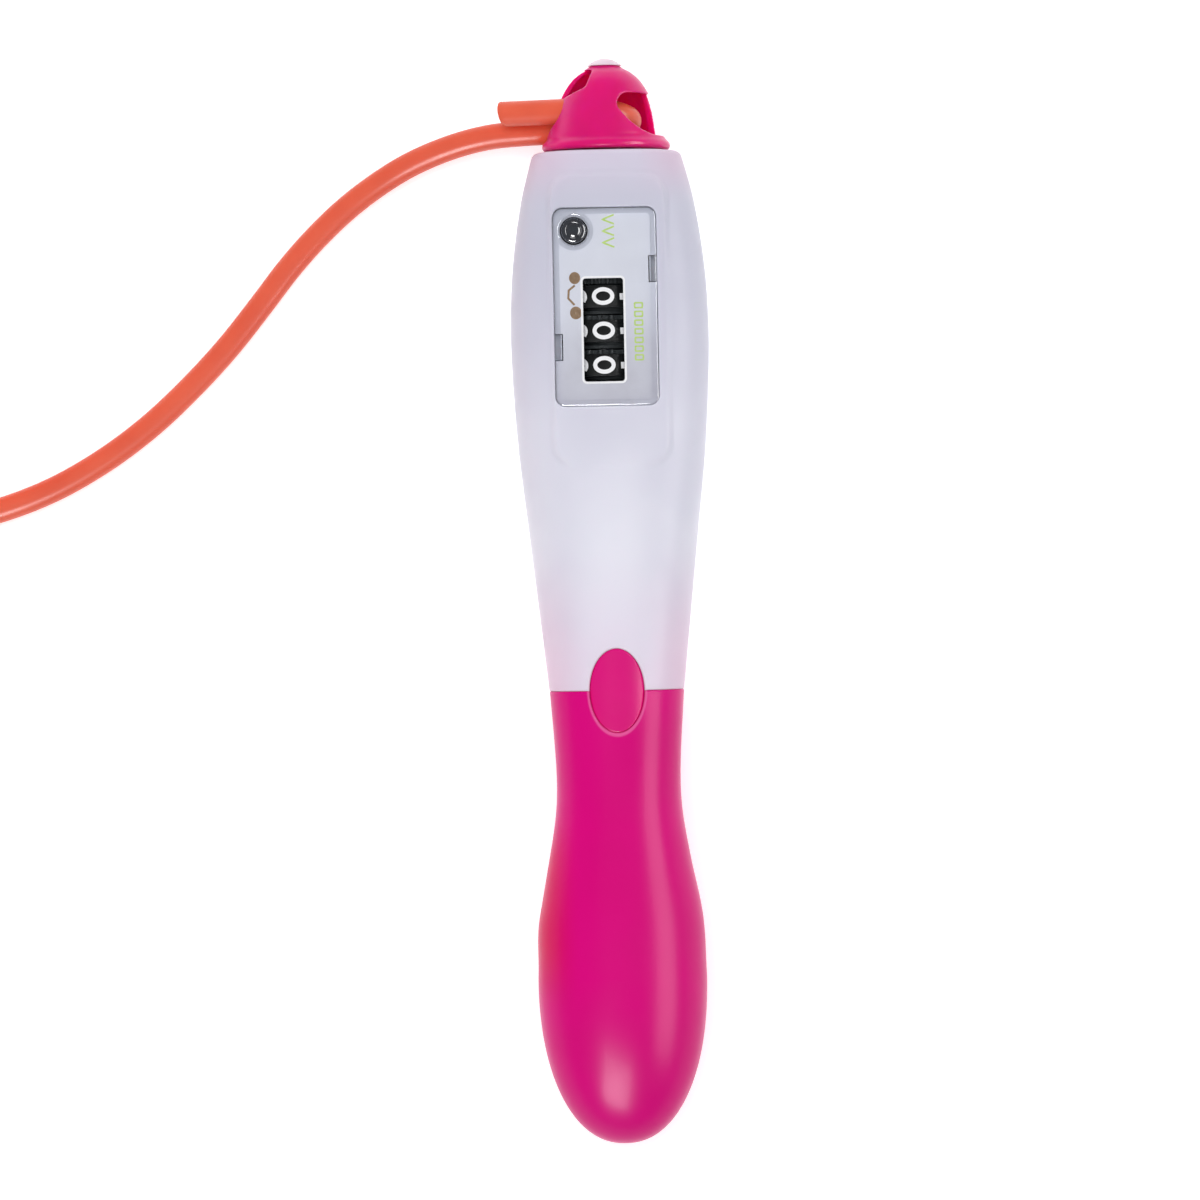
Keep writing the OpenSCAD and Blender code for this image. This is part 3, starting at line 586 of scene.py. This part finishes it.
def tie():
    """A soft strap round the coil: a band with rounded edges that follows the turns it holds."""
    middle = (COIL_IN + COIL_OUT) / 2
    half_w = (COIL_OUT - COIL_IN) / 2 + ROPE_R
    low, high = COIL_LOW - ROPE_R, COIL_LOW + ROPE_R * (2 * LAYERS - 1)
    wide = 2.45
    places = (-wide, -wide + 0.12, *np.linspace(-wide + 0.4, wide - 0.4, 9), wide - 0.12, wide)
    loops = []
    for along in places:
        thick = 0.52 if abs(along) < wide - 0.2 else (0.44 if abs(along) < wide else 0.3)
        x = COIL_AT[0] - math.sqrt(middle**2 - along**2)
        for grow in (0.04, thick):
            ring = rounded(0, (low + high) / 2, 2 * half_w + 2 * grow, high - low + 2 * grow,
                           ROPE_R + grow, 14)
            loops.append(np.column_stack([x + ring[:, 0], np.full(len(ring), COIL_AT[1] + along),
                                          ring[:, 1]]))
    n, faces = len(loops[0]), []

    def strip(a, b, flipped):
        """Faces between two loops, given by their numbers."""
        for i in range(n):
            j = (i + 1) % n
            quad = [a * n + i, a * n + j, b * n + j, b * n + i]
            faces.append(quad[1::-1] + quad[:1:-1] if flipped else quad)

    end = 2 * len(places) - 2
    for k in range(0, end, 2):
        strip(k, k + 2, True)
        strip(k + 1, k + 3, False)
    strip(0, 1, False)
    strip(end, end + 1, True)
    return outward(make("rope_tie", np.concatenate(loops), faces, "tie_white", "rotor", 50, ("coil_tie",)))


tie()


# ---------- body and grip ----------

# rows along the handle: y, half width, depths to front and rear, and the power of the superellipse
JOINT_ROW = [JOINT_Y, 11.1, 10.7, 10.9, 2.3]
BODY = np.array([JOINT_ROW, [0, 12.7, 11.5, 11.8, 2.4], [12, 14, 12.3, 12.4, 2.7],
                 [24, 15.3, 12.8, 12.8, 3], [36, 16.1, 12.9, 12.9, 3.2], [45, 16.3, 12.9, 12.9, 3.3],
                 [55, 15.8, 12.9, 12.9, 3.3], [66, 14.2, 12.6, 12.6, 3.2], [HEAD_Y, 12.2, 11.5, 11.5, 2.6]])
GRIP = np.array([[-62, 13.95, 13, 13, 2.1], [-52, 13.5, 12.5, 12.5, 2.1], [-42, 11.6, 11, 11.3, 2.1],
                 [-34, 10.4, 10.1, 10.6, 2.1], [-27, 10.3, 10, 10.4, 2.2], JOINT_ROW])
WALL = 1.6
PANEL = (0, 46, 19.1, 47.9, 3.8)  # middle x and y, width, height, corner radius
SCREWS = [(9.6, 67.2), (-9.6, 67.2), (8, 8), (-8, 8)]
GRIP_SCREW = (0, -9.5)
BOSS_R, GRIP_BOSS_R = 3.1, 2.8
SHANK_HOLE_R, PILOT_R, GRIP_PILOT_R = 1.2, 0.97, 1.02


def row_at(rows, s):
    """A smooth row between the given ones, at place s."""
    i = int(np.clip(np.searchsorted(rows[:, 0], s) - 1, 0, len(rows) - 2))
    slopes = []
    for k in (i, i + 1):
        a, b = max(k - 1, 0), min(k + 1, len(rows) - 1)
        slopes.append((rows[b] - rows[a]) / (rows[b][0] - rows[a][0]))
    d = rows[i + 1][0] - rows[i][0]
    t = (s - rows[i][0]) / d
    return ((2 * t**3 - 3 * t**2 + 1) * rows[i] + (t**3 - 2 * t**2 + t) * slopes[0] * d
            + (3 * t**2 - 2 * t**3) * rows[i + 1] + (t**3 - t**2) * slopes[1] * d)


def grip_row(y):
    """The grip's row, with its closed end on a curve a little squarer than an ellipse."""
    if y >= GRIP[0][0]:
        return row_at(GRIP, y)
    s = min((GRIP[0][0] - y) / (GRIP[0][0] - END_Y), 1)
    k = (1 - s**2.2) ** (1 / 2.2)
    w = GRIP[0]
    return np.array([y, w[1] * k, w[2] * k, w[3] * k, w[4]])


def section(row, inset, start, stop, places):
    """Points of a superellipse section between two angles, at shares of the way round."""
    t = np.linspace(start, stop, 9001)
    c, s = np.cos(t), np.sin(t)
    depth = np.where(s >= 0, row[2], row[3])
    x = (row[1] - inset) * np.sign(c) * np.abs(c) ** (2 / row[4])
    z = AXIS_Z + (depth - inset) * np.sign(s) * np.abs(s) ** (2 / row[4])
    along = np.concatenate([[0], np.cumsum(np.hypot(np.diff(x), np.diff(z)))])
    at = np.asarray(places) * along[-1]
    return np.column_stack([np.interp(at, along, x), np.full(len(at), row[0]), np.interp(at, along, z)])


def handle_row(y):
    return row_at(BODY, y) if y > JOINT_Y else grip_row(y)


def surface(side):
    """The height of the handle's front (side 1) or rear (side -1), as a function of places on it."""
    def height(xs, ys):
        out = []
        for x, y in zip(xs, ys):
            row = handle_row(y)
            depth = row[2] if side > 0 else row[3]
            out.append(AXIS_Z + side * depth * max(1 - abs(x / row[1]) ** row[4], 0) ** (1 / row[4]))
        return np.array(out)
    return height


def panel_share(x, y, soft=0.55):
    """1 on the flat panel, 0 off it, with a soft step at its edge."""
    cx, cy, w, h, r = PANEL
    qx = np.abs(x - cx) - (w / 2 - r)
    qy = np.abs(y - cy) - (h / 2 - r)
    d = np.hypot(np.maximum(qx, 0), np.maximum(qy, 0)) + np.minimum(np.maximum(qx, qy), 0) - r
    t = np.clip((soft - d) / (2 * soft), 0, 1)
    return t * t * (3 - 2 * t)


def edge_inset(distance, r):
    """How far a rounded edge pulls in at a distance from it."""
    if distance >= r:
        return 0.0
    return r - math.sqrt(max(r * r - (r - distance) ** 2, 0))


def clustered(low, high, step, fine=(0.0, 0.04, 0.1, 0.18, 0.3, 0.5, 0.8)):
    """Places from low to high, closer together at both ends."""
    inner = np.arange(low + 1.1, high - 1.1, step)
    return np.array([low + f for f in fine] + list(inner) + [high - f for f in fine[::-1]])


def screw_cutters(x, y, head_r, seat, end):
    """Cutters from the rear for a screw: the hole of its shank, and the well that its head sits in."""
    return [prism(circle(x, y, SHANK_HOLE_R, 32), -2, end),
            fillet_cutter(lambda o: circle(x, y, head_r + o, 48), surface(-1), seat, 0.3, up=-1)]


def badge_cutter():
    rx, ry = BADGE_SEAT
    return fillet_cutter(lambda o: oval(0, JOINT_Y, rx + o, ry + o), surface(1), 21, 0.45)


def shell_outside(start, stop, plane):
    """Rings of a half shell's outside, with its flat panel and a fine rounded edge all round."""
    edge_r, head_edge_r = 0.25, 0.8
    places = np.concatenate([[0, 0.0015, 0.004, 0.008], np.linspace(0.014, 0.986, 118),
                             [0.992, 0.996, 0.9985, 1]])
    rings = []
    for y in clustered(JOINT_Y, HEAD_Y, 0.42):
        inset = max(edge_inset(y - JOINT_Y, edge_r), edge_inset(HEAD_Y - y, head_edge_r))
        ring = section(row_at(BODY, y), inset, start, stop, places)
        share = panel_share(ring[:, 0], ring[:, 1])
        ring[:, 2] += (plane - ring[:, 2]) * share
        for point in ring:
            point[0] -= np.sign(point[0]) * edge_inset(abs(point[2] - AXIS_Z), edge_r)
        rings.append(ring)
    return rings


def shell_cavity(start, stop, side):
    """A half shell's hollow, without the bosses that hold its screws."""
    inner = []
    low = AXIS_Z - 0.5 * side
    for y in np.linspace(JOINT_Y - 1, HEAD_Y - 2, 60):
        row = row_at(BODY, max(y, JOINT_Y)).copy()
        row[0] = y
        ring = section(row, WALL, start, stop, np.linspace(0, 1, 50))
        ring[:, 2] = np.clip(ring[:, 2], WALL, FRONT_PLANE - WALL)
        inner.append(np.vstack([[ring[0, 0], y, low], ring, [ring[-1, 0], y, low]]))
    bosses = [prism(circle(x, y, BOSS_R, 40), -1, 31) for x, y in SCREWS]
    return combine(solid(inner), bosses)


def half_shell(front):
    """One half of the white body, a closed shell with its walls, bosses and holes."""
    start, side, plane = (0, 1, FRONT_PLANE) if front else (math.pi, -1, 0.0)
    stop = start + math.pi
    name = "shell_front" if front else "shell_rear"
    piece = solid(shell_outside(start, stop, plane), name, "shell_white")
    head_hole = solid(lathe([(4, 60), (4, 80)], (0, 0, AXIS_Z), 64))
    tools = [shell_cavity(start, stop, side), head_hole]
    if front:
        cx, cy = LENS[:2]
        tools.append(fillet_cutter(lambda o: rounded(cx, cy, 17 + 2 * o, 32.5 + 2 * o, 1.7 + o),
                                   level(FRONT_PLANE), 18, 0.3))
        tools += [prism(circle(x, y, PILOT_R, 24), 5, 20) for x, y in SCREWS]
        tools.append(badge_cutter())
    else:
        for x, y in SCREWS:
            tools += screw_cutters(x, y, 2, 4.6, 16)
        tools += screw_cutters(*GRIP_SCREW, 2.2, 2.7, 8)
    combine(piece, tools)
    smooth(piece.data, 35)
    attach(piece, "handle", ("front_shell",) if front else ("rear_shell",))


half_shell(True)
half_shell(False)


def grip():
    """The pink grip: its outside, a tongue that goes into the shells, and its hollow."""
    places = np.linspace(0, 1, 201)[:-1]
    full = 2 * math.pi
    bend_y, wave_y = GRIP[0][0], -52
    tip = [bend_y - (bend_y - END_Y) * v for v in np.sin(np.linspace(math.pi / 2, 0, 46)[1:])]
    rings = []
    for y in tip[:-1] + list(clustered(bend_y, JOINT_Y, 0.55)):
        row = grip_row(y)
        ring = section(row, edge_inset(JOINT_Y - y, 0.25), 0, full, places)
        # soft unevenness on the left hand side, where it was pushed in
        wave = 0.1 * math.exp(-((y - wave_y) / 9) ** 2) * math.sin((y - wave_y) / 2.1)
        ring[:, 0] += wave * np.clip(-(ring[:, 0]) / max(row[1], 1), 0, 1) ** 2
        rings.append(ring)
    first, pole = rings[0], np.array([0, END_Y + 0.01, AXIS_Z])
    rings.insert(0, pole + (first - [0, first[0][1], AXIS_Z]) * 0.3)
    for reach, inset in ((0, 1.75), (9.6, 1.75), (10, 2.15)):
        rings.append(section(row_at(BODY, JOINT_Y + reach), inset, 0, full, places))
    piece = solid(rings, "grip_body", "grip_pink")
    inner = []
    for y in np.linspace(-85, JOINT_Y + 11, 50):
        row = handle_row(y)
        wall = 3.75 if row[1] > 5 else row[1] * 0.6
        inner.append(section(row, wall, 0, full, np.linspace(0, 1, 61)[:-1]))
    round_badge = prism(oval(0, JOINT_Y, BADGE_SEAT[0] + 1.3, BADGE_SEAT[1] + 1.3, 64), 18, 40)
    cavity = combine(solid(inner), [round_badge, prism(circle(*GRIP_SCREW, GRIP_BOSS_R, 40), 0, 9)])
    combine(piece, [cavity, badge_cutter(), prism(circle(*GRIP_SCREW, GRIP_PILOT_R, 24), 0, 8.9)])
    smooth(piece.data, 35)
    attach(piece, "handle", ("grip",))


grip()


def badge():
    """An oval plug with a soft rim that follows the handle's curve."""
    n, round_r, crown_r, play = 120, 0.3, 10.45, 0.01
    tilt = math.radians(3.5)
    rx, ry = BADGE_SEAT[0] - play, BADGE_SEAT[1] - play

    def height(x, y):
        axis = AXIS_Z + (y - JOINT_Y) * math.tan(tilt)
        return axis + np.sqrt(np.maximum(crown_r**2 - x**2, 0)) / math.cos(tilt)

    steps = 6
    rings = [raised(oval(0, JOINT_Y, rx, ry, n), 21)]
    for k in range(steps + 1):
        a = k / steps * math.pi / 2
        inset = round_r * (1 - math.cos(a))
        at = oval(0, JOINT_Y, rx - inset, ry - inset, n)
        rings.append(raised(at, height(*at.T) - round_r * (1 - math.sin(a))))
    for s in np.linspace(0.97, 0.02, 26):
        at = oval(0, JOINT_Y, (rx - round_r) * s, (ry - round_r) * s, n)
        rings.append(raised(at, height(*at.T)))
    piece = solid(rings, "badge_plug", "badge_pink")
    attach(piece, "handle", ("badge",))


badge()

# ---------- head ----------

# [radius, height] over the flange's lower face
FLANGE = [(0, 0), (9.9, 0), (10.25, 0.08), (10.5, 0.3), (10.6, 0.6), (10.58, 0.95), (10.42, 1.25),
          (10.15, 1.5), (9.85, 1.8), (9.68, 2.15)]
DOME = [(9.6, 2.6), (9, 4.4), (8.4, 6.4), (7.7, 8.2), (6.8, 10), (5.7, 11.6), (4.4, 12.8), (3, 13.6),
        (2.4, 14.05)]
FLANGE_Y = 74.25
HEAD_WALL = 1


def arc(cx, cy, r, a0, a1, n=17):
    t = np.radians(np.linspace(a0, a1, n))
    return [(cx + r * math.cos(a), cy + r * math.sin(a)) for a in t]


def head_windows():
    """Cutters for the side window, the top left window, and the slot that the rope comes in by."""
    side = arc(3.7, 7.4, 1.8, 90, 200)
    side += [(2.9, 5.6), (4.2, 4.3), (5.8, 3.1), (7.6, 2.3), (14, 2), (14, 9.2)]
    side = even([*side, side[0]], 0.4)[:-1]
    low = AXIS_Z + np.interp(side[:, 1], [3, 9], [-4.7, -1.9])
    places, far = side + [0, FLANGE_Y], 45
    upper = np.array([(-2, 13.3), (-3.2, 10.3), (-7.2, 8.5), (-12, 8.5), (-12, 13.3)]) + [0, FLANGE_Y]
    tail, strand = np.array([TAIL_Y, AXIS_Z + 1.6]), np.array([STRAND_Y, AXIS_Z - 4.3])
    turn = math.degrees(math.atan2(tail[1] - strand[1], tail[0] - strand[0]))
    slot_r = ROPE_R + 0.25
    slot = arc(*tail, slot_r, turn - 90, turn + 90) + arc(*strand, slot_r, turn + 90, turn + 270)
    return [solid([raised(places, low), raised(places, far)]),
            prism(upper, AXIS_Z - 1, far),
            solid([np.array([(x, y, z) for y, z in slot]) for x in (-14, -4.5)])]


def head():
    """The turning head: a hollow dome with its windows, all its edges softened."""
    centre, top = (0, FLANGE_Y, AXIS_Z), 14.05
    dome = spline([(r, h, 0) for r, h in DOME], 0.3)[:, :2]
    piece = solid(lathe([*FLANGE, *dome, (0, top)], centre, 180), "head_cap", "head_pink")
    inside = [(r - HEAD_WALL, h) for r, h in dome if 2 < h < 12.9]
    tools = [solid(lathe([(0, 1.2), (8.6, 1.2), *inside, (0, 12.8)], centre, 120)),
             solid(lathe([(1.6, -3), (1.6, 20)], centre, 48))]
    combine(piece, tools + head_windows())
    step = piece.modifiers.new("even", "REMESH")
    step.mode, step.voxel_size, step.use_smooth_shade = "VOXEL", 0.155 * MM, True
    applied(piece)
    step = piece.modifiers.new("soften", "SMOOTH")
    step.factor, step.iterations = 0.5, 16
    applied(piece)
    piece.data.shade_smooth()
    paint(piece, "head_pink")
    attach(piece, "rotor", ("rotor_cap",))


head()

# ---------- lens, plate and print ----------

LENS_LOW, LENS_TOP = 24.03, 25.8
PLATE_TOP = 24.0
HOOKS = ((-1, 41.6), (1, 54.2))  # side, middle y
HOOK_W, HOOK_H = 1.2, 4.2


def button():
    """The button: stem and collar inside, and a glossy dome with a fine ring groove outside."""
    stem = [(0, 10.85), (0.95, 10.85), (1.1, 11), (1.1, 22)]
    collar = [(2.7, 22), (2.85, 22.12), (2.85, 22.8), (2.75, 22.9), (2.05, 22.9)]
    rim = [(2.05, 25.4), (2.02, 25.58), (1.93, 25.73), (1.78, 25.84), (1.6, 25.9), (1.42, 25.92)]
    groove = [(1.34, 25.86), (1.26, 25.84), (1.18, 25.9)]
    dome = [(1.08, 26.02), (0.95, 26.11), (0.75, 26.19), (0.5, 26.25), (0.25, 26.28), (0, 26.29)]
    profile = stem + collar + rim + groove + dome
    piece = solid(lathe(profile, (*BUTTON_AT, 0), 72, "Z"), "button_cap", "button_black")
    smooth(piece.data, 50)
    attach(piece, "button", ("reset_button",))


button()


def spring():
    """The button's spring, a coil of wire round the button's stem."""
    turns, low, high, coil_r, wire_r, steps = 6, 16.4, 21.8, 1.7, 0.2, 28
    path = [[BUTTON_AT[0] + coil_r * math.cos(a), BUTTON_AT[1] + coil_r * math.sin(a),
             low + (high - low) * np.clip((a / (2 * math.pi) - 0.5) / (turns - 1), 0, 1)]
            for a in np.linspace(0, 2 * math.pi * turns, turns * steps + 1)]
    piece = solid(tube(path, wire_r, 8), "return_spring", "steel")
    piece.data.shade_smooth()
    attach(piece, "handle", ("button_spring",))
    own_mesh(piece)


spring()


def ring_prism(outer, inner, z0, z1):
    """A closed ring of the same number of points outside and inside."""
    n = len(outer)
    verts = [(x, y, z) for z in (z0, z1) for line in (outer, inner) for x, y in line]
    faces = []
    for i in range(n):
        j = (i + 1) % n
        faces += [[i, n + i, n + j, j], [2 * n + i, 2 * n + j, 3 * n + j, 3 * n + i],
                  [i, j, 2 * n + j, 2 * n + i], [n + i, 3 * n + i, 3 * n + j, n + j]]
    return outward(make("ring", verts, faces, "works_grey"))


def hooked(x, y):
    """Whether a place lies on one of the lens's hooks."""
    return any(abs(x - LENS[0] - side * (LENS[2] - HOOK_W) / 2) < HOOK_W / 2 + 0.02
               and abs(y - hook_y) < HOOK_H / 2 + 0.05 for side, hook_y in HOOKS)


def lens():
    """A clear tray: rounded rim, hollow under its top, a round boss with the button's hole, two hooks."""
    cx, cy = LENS[:2]
    w, h = LENS[2] + 0.14, LENS[3] + 0.14
    corner_r, rim_r, steps = 1.6, 0.35, 6
    boss_r, hole_r, groove_r, groove_w = 3.2, 2.4, 4.55, 0.3
    rings = [raised(rounded(cx, cy, w, h, corner_r), LENS_LOW)]
    for k in range(steps + 1):
        a = k / steps * math.pi / 2
        o = rim_r * (1 - math.cos(a))
        rings.append(raised(rounded(cx, cy, w - 2 * o, h - 2 * o, corner_r - o),
                            LENS_TOP - rim_r * (1 - math.sin(a))))
    piece = solid(rings, "lens_tray", "lens_clear")
    tray = prism(rounded(cx, cy, w - 2, h - 2, 0.8), LENS_LOW - 1, LENS_TOP - 0.9)
    tray = combine(tray, [prism(circle(*BUTTON_AT, boss_r, 64), 20, 30)])
    hole = fillet_cutter(lambda o: circle(*BUTTON_AT, hole_r + o, 72), level(LENS_TOP), 20, 0.5)
    groove = ring_prism(circle(*BUTTON_AT, groove_r, 96), circle(*BUTTON_AT, groove_r - groove_w, 96),
                        LENS_TOP - 0.12, LENS_TOP + 1)
    inside = prism(rounded(cx, cy, w - 1.6, h - 1.6, 1), LENS_TOP - 2, LENS_TOP + 2)
    groove = combine(groove, [inside], "INTERSECT")
    combine(piece, [tray, hole, groove])
    hooks = [rounded(cx + side * (w - HOOK_W) / 2, y, HOOK_W, HOOK_H, 0.15, 5) for side, y in HOOKS]
    combine(piece, [prism(outline, LENS_LOW - 1.6, LENS_LOW + 0.05) for outline in hooks], "UNION")
    paint(piece, "lens_clear", "lens_edge", "lens_hook")
    clear, edge, hook = 0, 1, 2
    for face in piece.data.polygons:
        x, y, z = face.center / MM
        up = face.normal[2]
        near_side = max(abs(x - cx) - w / 2, abs(y - cy) - h / 2) > -1.1
        wall = near_side and (up < 0.99 or z < LENS_TOP - 0.2)
        collar = math.hypot(x - BUTTON_AT[0], y - BUTTON_AT[1]) < 4.6 and up < 0.9
        low = z < LENS_LOW + 0.06
        face.material_index = hook if low and hooked(x, y) else edge if wall or collar else clear
    attach(piece, "handle", ("lens",))


lens()


# ---------- printed digits and marks ----------

DRUM_AT, DRUM_R = (-1.0, 16.15), 7.25  # the wheels' axis in x and z
DRUM_Y = {"units": 49.9, "tens": 44.27, "hundreds": 38.64}
SUNK = 0.01
WAVE = [(0.9, -0.15), (0.9, -0.55), (0.5, -0.93), (-0.1, -1), (-0.6, -0.92), (-0.95, -0.62)]
SIX = [(0.78, 0.8), (0.2, 1), (-0.45, 0.88), (-0.87, 0.35), (-0.95, -0.3), (-0.7, -0.85), (0, -1),
       (0.7, -0.85), (0.95, -0.4), (0.7, 0.05), (0.05, 0.2), (-0.6, 0.02), (-0.9, -0.35)]


def loop(cx, cy, rx, ry, n=40):
    return [(cx + rx * math.cos(a), cy + ry * math.sin(a)) for a in np.linspace(0, 2 * math.pi, n + 1)]


# strokes of each digit in a square from -1 to 1, True where they are smooth curves
DIGITS = [[(False, loop(0, 0, 1, 1))],
          [(False, [(-0.55, 0.93), (0.1, 0.93)]), (False, [(0.1, 1.17), (0.1, -1)])],
          [(True, [(-0.9, 0.45), (-0.62, 0.88), (0, 1), (0.66, 0.88), (0.9, 0.45), (0.6, -0.05),
                   (-0.9, -1)]),
           (False, [(-0.95, -1), (0.95, -1)])],
          [(True, [(-0.85, 0.72), (-0.3, 1), (0.35, 0.97), (0.8, 0.62), (0.66, 0.22), (0, 0.05)]),
           (True, [(0, 0.05), (0.7, -0.1), *WAVE[1:]])],
          [(False, [(0.45, -1), (0.45, 1), (-0.95, -0.35), (1, -0.35)])],
          [(False, [(0.8, 1), (-0.65, 1), (-0.8, 0.05)]),
           (True, [(-0.8, 0.05), (-0.2, 0.25), (0.45, 0.2), *WAVE])],
          [(True, SIX)],
          [(False, [(-0.95, 1), (0.95, 1), (-0.2, -1)])],
          [(False, loop(0, 0.5, 0.76, 0.48)), (False, loop(0, -0.48, 0.95, 0.5))],
          [(True, [(-x, -y) for x, y in SIX])]]


def stroke(points, half_w, place, verts, faces, thick):
    """Adds one stroke, a thin closed strip, to a mesh. place(u, v, lift) puts its points on the surface."""
    points = np.asarray(points, float)
    closed = math.dist(points[0], points[-1]) < 1e-6
    ahead = np.roll(points, -1, 0) - points
    ahead[-1] = ahead[0] if closed else points[-1] - points[-2]
    behind = points - np.roll(points, 1, 0)
    behind[0] = behind[-1] if closed else ahead[0]
    ahead /= np.linalg.norm(ahead, axis=1)[:, None]
    behind /= np.linalg.norm(behind, axis=1)[:, None]
    along = ahead + behind
    along /= np.linalg.norm(along, axis=1)[:, None]
    widen = np.clip(1 / np.maximum((along * ahead).sum(1), 0.5), 1, 1.5)[:, None]
    normal = np.column_stack([-along[:, 1], along[:, 0]]) * half_w * widen
    if closed:
        points, normal = points[:-1], normal[:-1]
    start, n = len(verts), len(points)
    for p, d in zip(points, normal):
        verts += [place(*(p - d), 0), place(*(p + d), 0), place(*(p + d), thick), place(*(p - d), thick)]
    for i in range(n if closed else n - 1):
        a, b = start + 4 * i, start + 4 * ((i + 1) % n)
        for k in range(4):
            m = (k + 1) % 4
            faces.append([a + k, a + m, b + m, b + k])
    if not closed:
        faces += [[start + k for k in range(4)], [start + 4 * (n - 1) + k for k in (3, 2, 1, 0)]]


def digits(body, y):
    """The ten printed digits of a wheel, bent round its drum, with their tops towards -X."""
    verts, faces = [], []
    half_w, half_wide, half_high = 0.335, 1.45, 1.85
    for value, strokes in enumerate(DIGITS):
        def place(u, v, lift, turn=math.radians(36 * value)):
            a, r = turn - v / DRUM_R, DRUM_R - 2 * SUNK + lift
            return [DRUM_AT[0] + r * math.sin(a), y + u, DRUM_AT[1] + r * math.cos(a)]
        for curved, points in strokes:
            scaled = [(u * (half_wide - half_w), v * (half_high - half_w)) for u, v in points]
            if curved:
                scaled = [tuple(p[:2]) for p in spline([(u, v, 0) for u, v in scaled], 0.12)]
            stroke(even(scaled, 0.2), half_w, place, verts, faces, 0.05)
    outward(make("digits_" + body, verts, faces, "digit_white", body))


for wheel_body, wheel_y in DRUM_Y.items():
    digits(wheel_body, wheel_y)


def prints():
    """Generic marks on the face plate, where the real plate has print, and a white ring round its window, a
    painted highlight on the window's edge.
    """
    def flat(u, v, lift):
        return [u, v, PLATE_TOP - SUNK + lift]

    def marks(name, slot, strokes, half_w):
        verts, faces = [], []
        for line in strokes:
            stroke(even(line, 0.3), half_w, flat, verts, faces, 0.04)
        outward(make(name, verts, faces, slot, "handle"))

    arrows = [[(1.0, y - 0.75), (-0.9, y), (1.0, y + 0.75)] for y in (58.6, 60.5, 62.4)]
    marks("print_arrows", "print_green", arrows, 0.14)
    boxes = [rounded(4.75, 39.75 + 1.42 * k, 1.25, 0.8, 0.1, 3) for k in range(7)]
    marks("print_slots", "print_green", [[*box, box[0]] for box in boxes], 0.13)
    dots = []
    for cx, cy, r in ((-5.6, 52.9, 0.75), (-5.5, 47.2, 0.8)):
        dots += [loop(cx, cy, r * k, r * 1.1 * k, 20) for k in (0.25, 0.62, 1)]
    dots.append([(-5.6, 51.7), (-6.6, 50.9), (-6.7, 49.6), (-5.7, 48.5)])
    marks("print_beads", "print_brown", dots, 0.17)
    # painted highlight: a thin white ring where the edge of the plate's window catches the light
    cx, cy, w, h, edge = DRUM_AT[0], 44.37, 7.3, 17.6, 0.68
    window = ring_prism(rounded(cx, cy, w, h, 0.8, 8), rounded(cx, cy, w - edge, h - edge, 0.5, 8),
                        PLATE_TOP - SUNK, PLATE_TOP + 0.04)
    window.name = "window_edge_highlight"
    paint(window, "digit_white")
    attach(window, "handle")


prints()


def bevelled(node, width, slot):
    """A CAD node's edges rounded by modifiers, with its node material. A wheel's sides are greyer."""
    piece = NODES[node]
    is_wheel = node.endswith("_wheel")
    paint(piece, slot, *(["wheel_grey"] if is_wheel else []))
    weld = piece.modifiers.new("weld", "WELD")
    weld.merge_threshold = 2 * MICRON
    round_off = piece.modifiers.new("round", "BEVEL")
    round_off.width, round_off.segments, round_off.limit_method = width * MM, 2, "ANGLE"
    round_off.angle_limit = math.radians(38)
    round_off.use_clamp_overlap = True
    piece.data.shade_smooth()
    if is_wheel:
        for face in piece.data.polygons:
            x, _, z = face.center / MM
            face.material_index = 0 if math.hypot(x - DRUM_AT[0], z - DRUM_AT[1]) > 6.9 else 1


SLOTS = {s["node"]: s["material_slot"] for s in frame["record"]["subparts"]}
ROUNDING = {"face_plate": 0.06, "units_wheel": 0.12, "tens_wheel": 0.12, "hundreds_wheel": 0.12,
            "spindle": 0.1, "shell_screws": 0.12, "grip_screw": 0.12}
for node in NODES:
    if not NODES[node].hide_render:
        bevelled(node, ROUNDING.get(node, 0.08), SLOTS[node])

# ---------- light and floor ----------

world = bpy.data.worlds.new("studio")
SCENE.world = world
world.use_nodes = True
background = world.node_tree.nodes["Background"].inputs
background["Color"].default_value = (1, 1, 1, 1)
background["Strength"].default_value = 0.4
SCENE.view_settings.view_transform = "Standard"


def lamp(name, place, target, size, power, lights=True, shows=True):
    """A soft box that lights the surfaces, shows in their gloss, or both."""
    light = bpy.data.lights.new(name, "AREA")
    light.shape, light.size, light.size_y, light.energy = "RECTANGLE", *size, power
    holder = bpy.data.objects.new(name, light)
    holder.location = place
    holder.rotation_euler = (Vector(target) - Vector(place)).to_track_quat("-Z", "Y").to_euler()
    SCENE.collection.objects.link(holder)
    holder.visible_camera = False
    holder.visible_diffuse = lights
    holder.visible_glossy = shows


lamp("top", (-0.1, 0.25, 1.1), (0, 0, 0), (0.9, 0.9), 8.6, shows=False)
lamp("right", (0.5, 0.0, 0.36), (0, 0, 0.013), (0.7, 0.32), 7.6, lights=False)
lamp("front", (-0.1, -0.45, 0.4), (0, -0.08, 0), (0.3, 0.3), 8.5, lights=False)


def floor():
    n = Nodes("floor_white")
    colour = n.mix(n.ramp(n.noise(8, 3), 0.3, 0.7, 0, 1), (0.93, 0.93, 0.935), (0.95, 0.95, 0.95))
    MAT["floor"] = n.principled(colour, None, n.bump(n.noise(600, 2), 10 * MICRON), {
        "Roughness": 0.7, "Emission Color": (1, 1, 1, 1), "Emission Strength": 0.45})
    half = 3000
    corners = [[-half, -half, 0], [half, -half, 0], [half, half, 0], [-half, half, 0]]
    make("floor", corners, [[0, 1, 2, 3]], "floor")


floor()
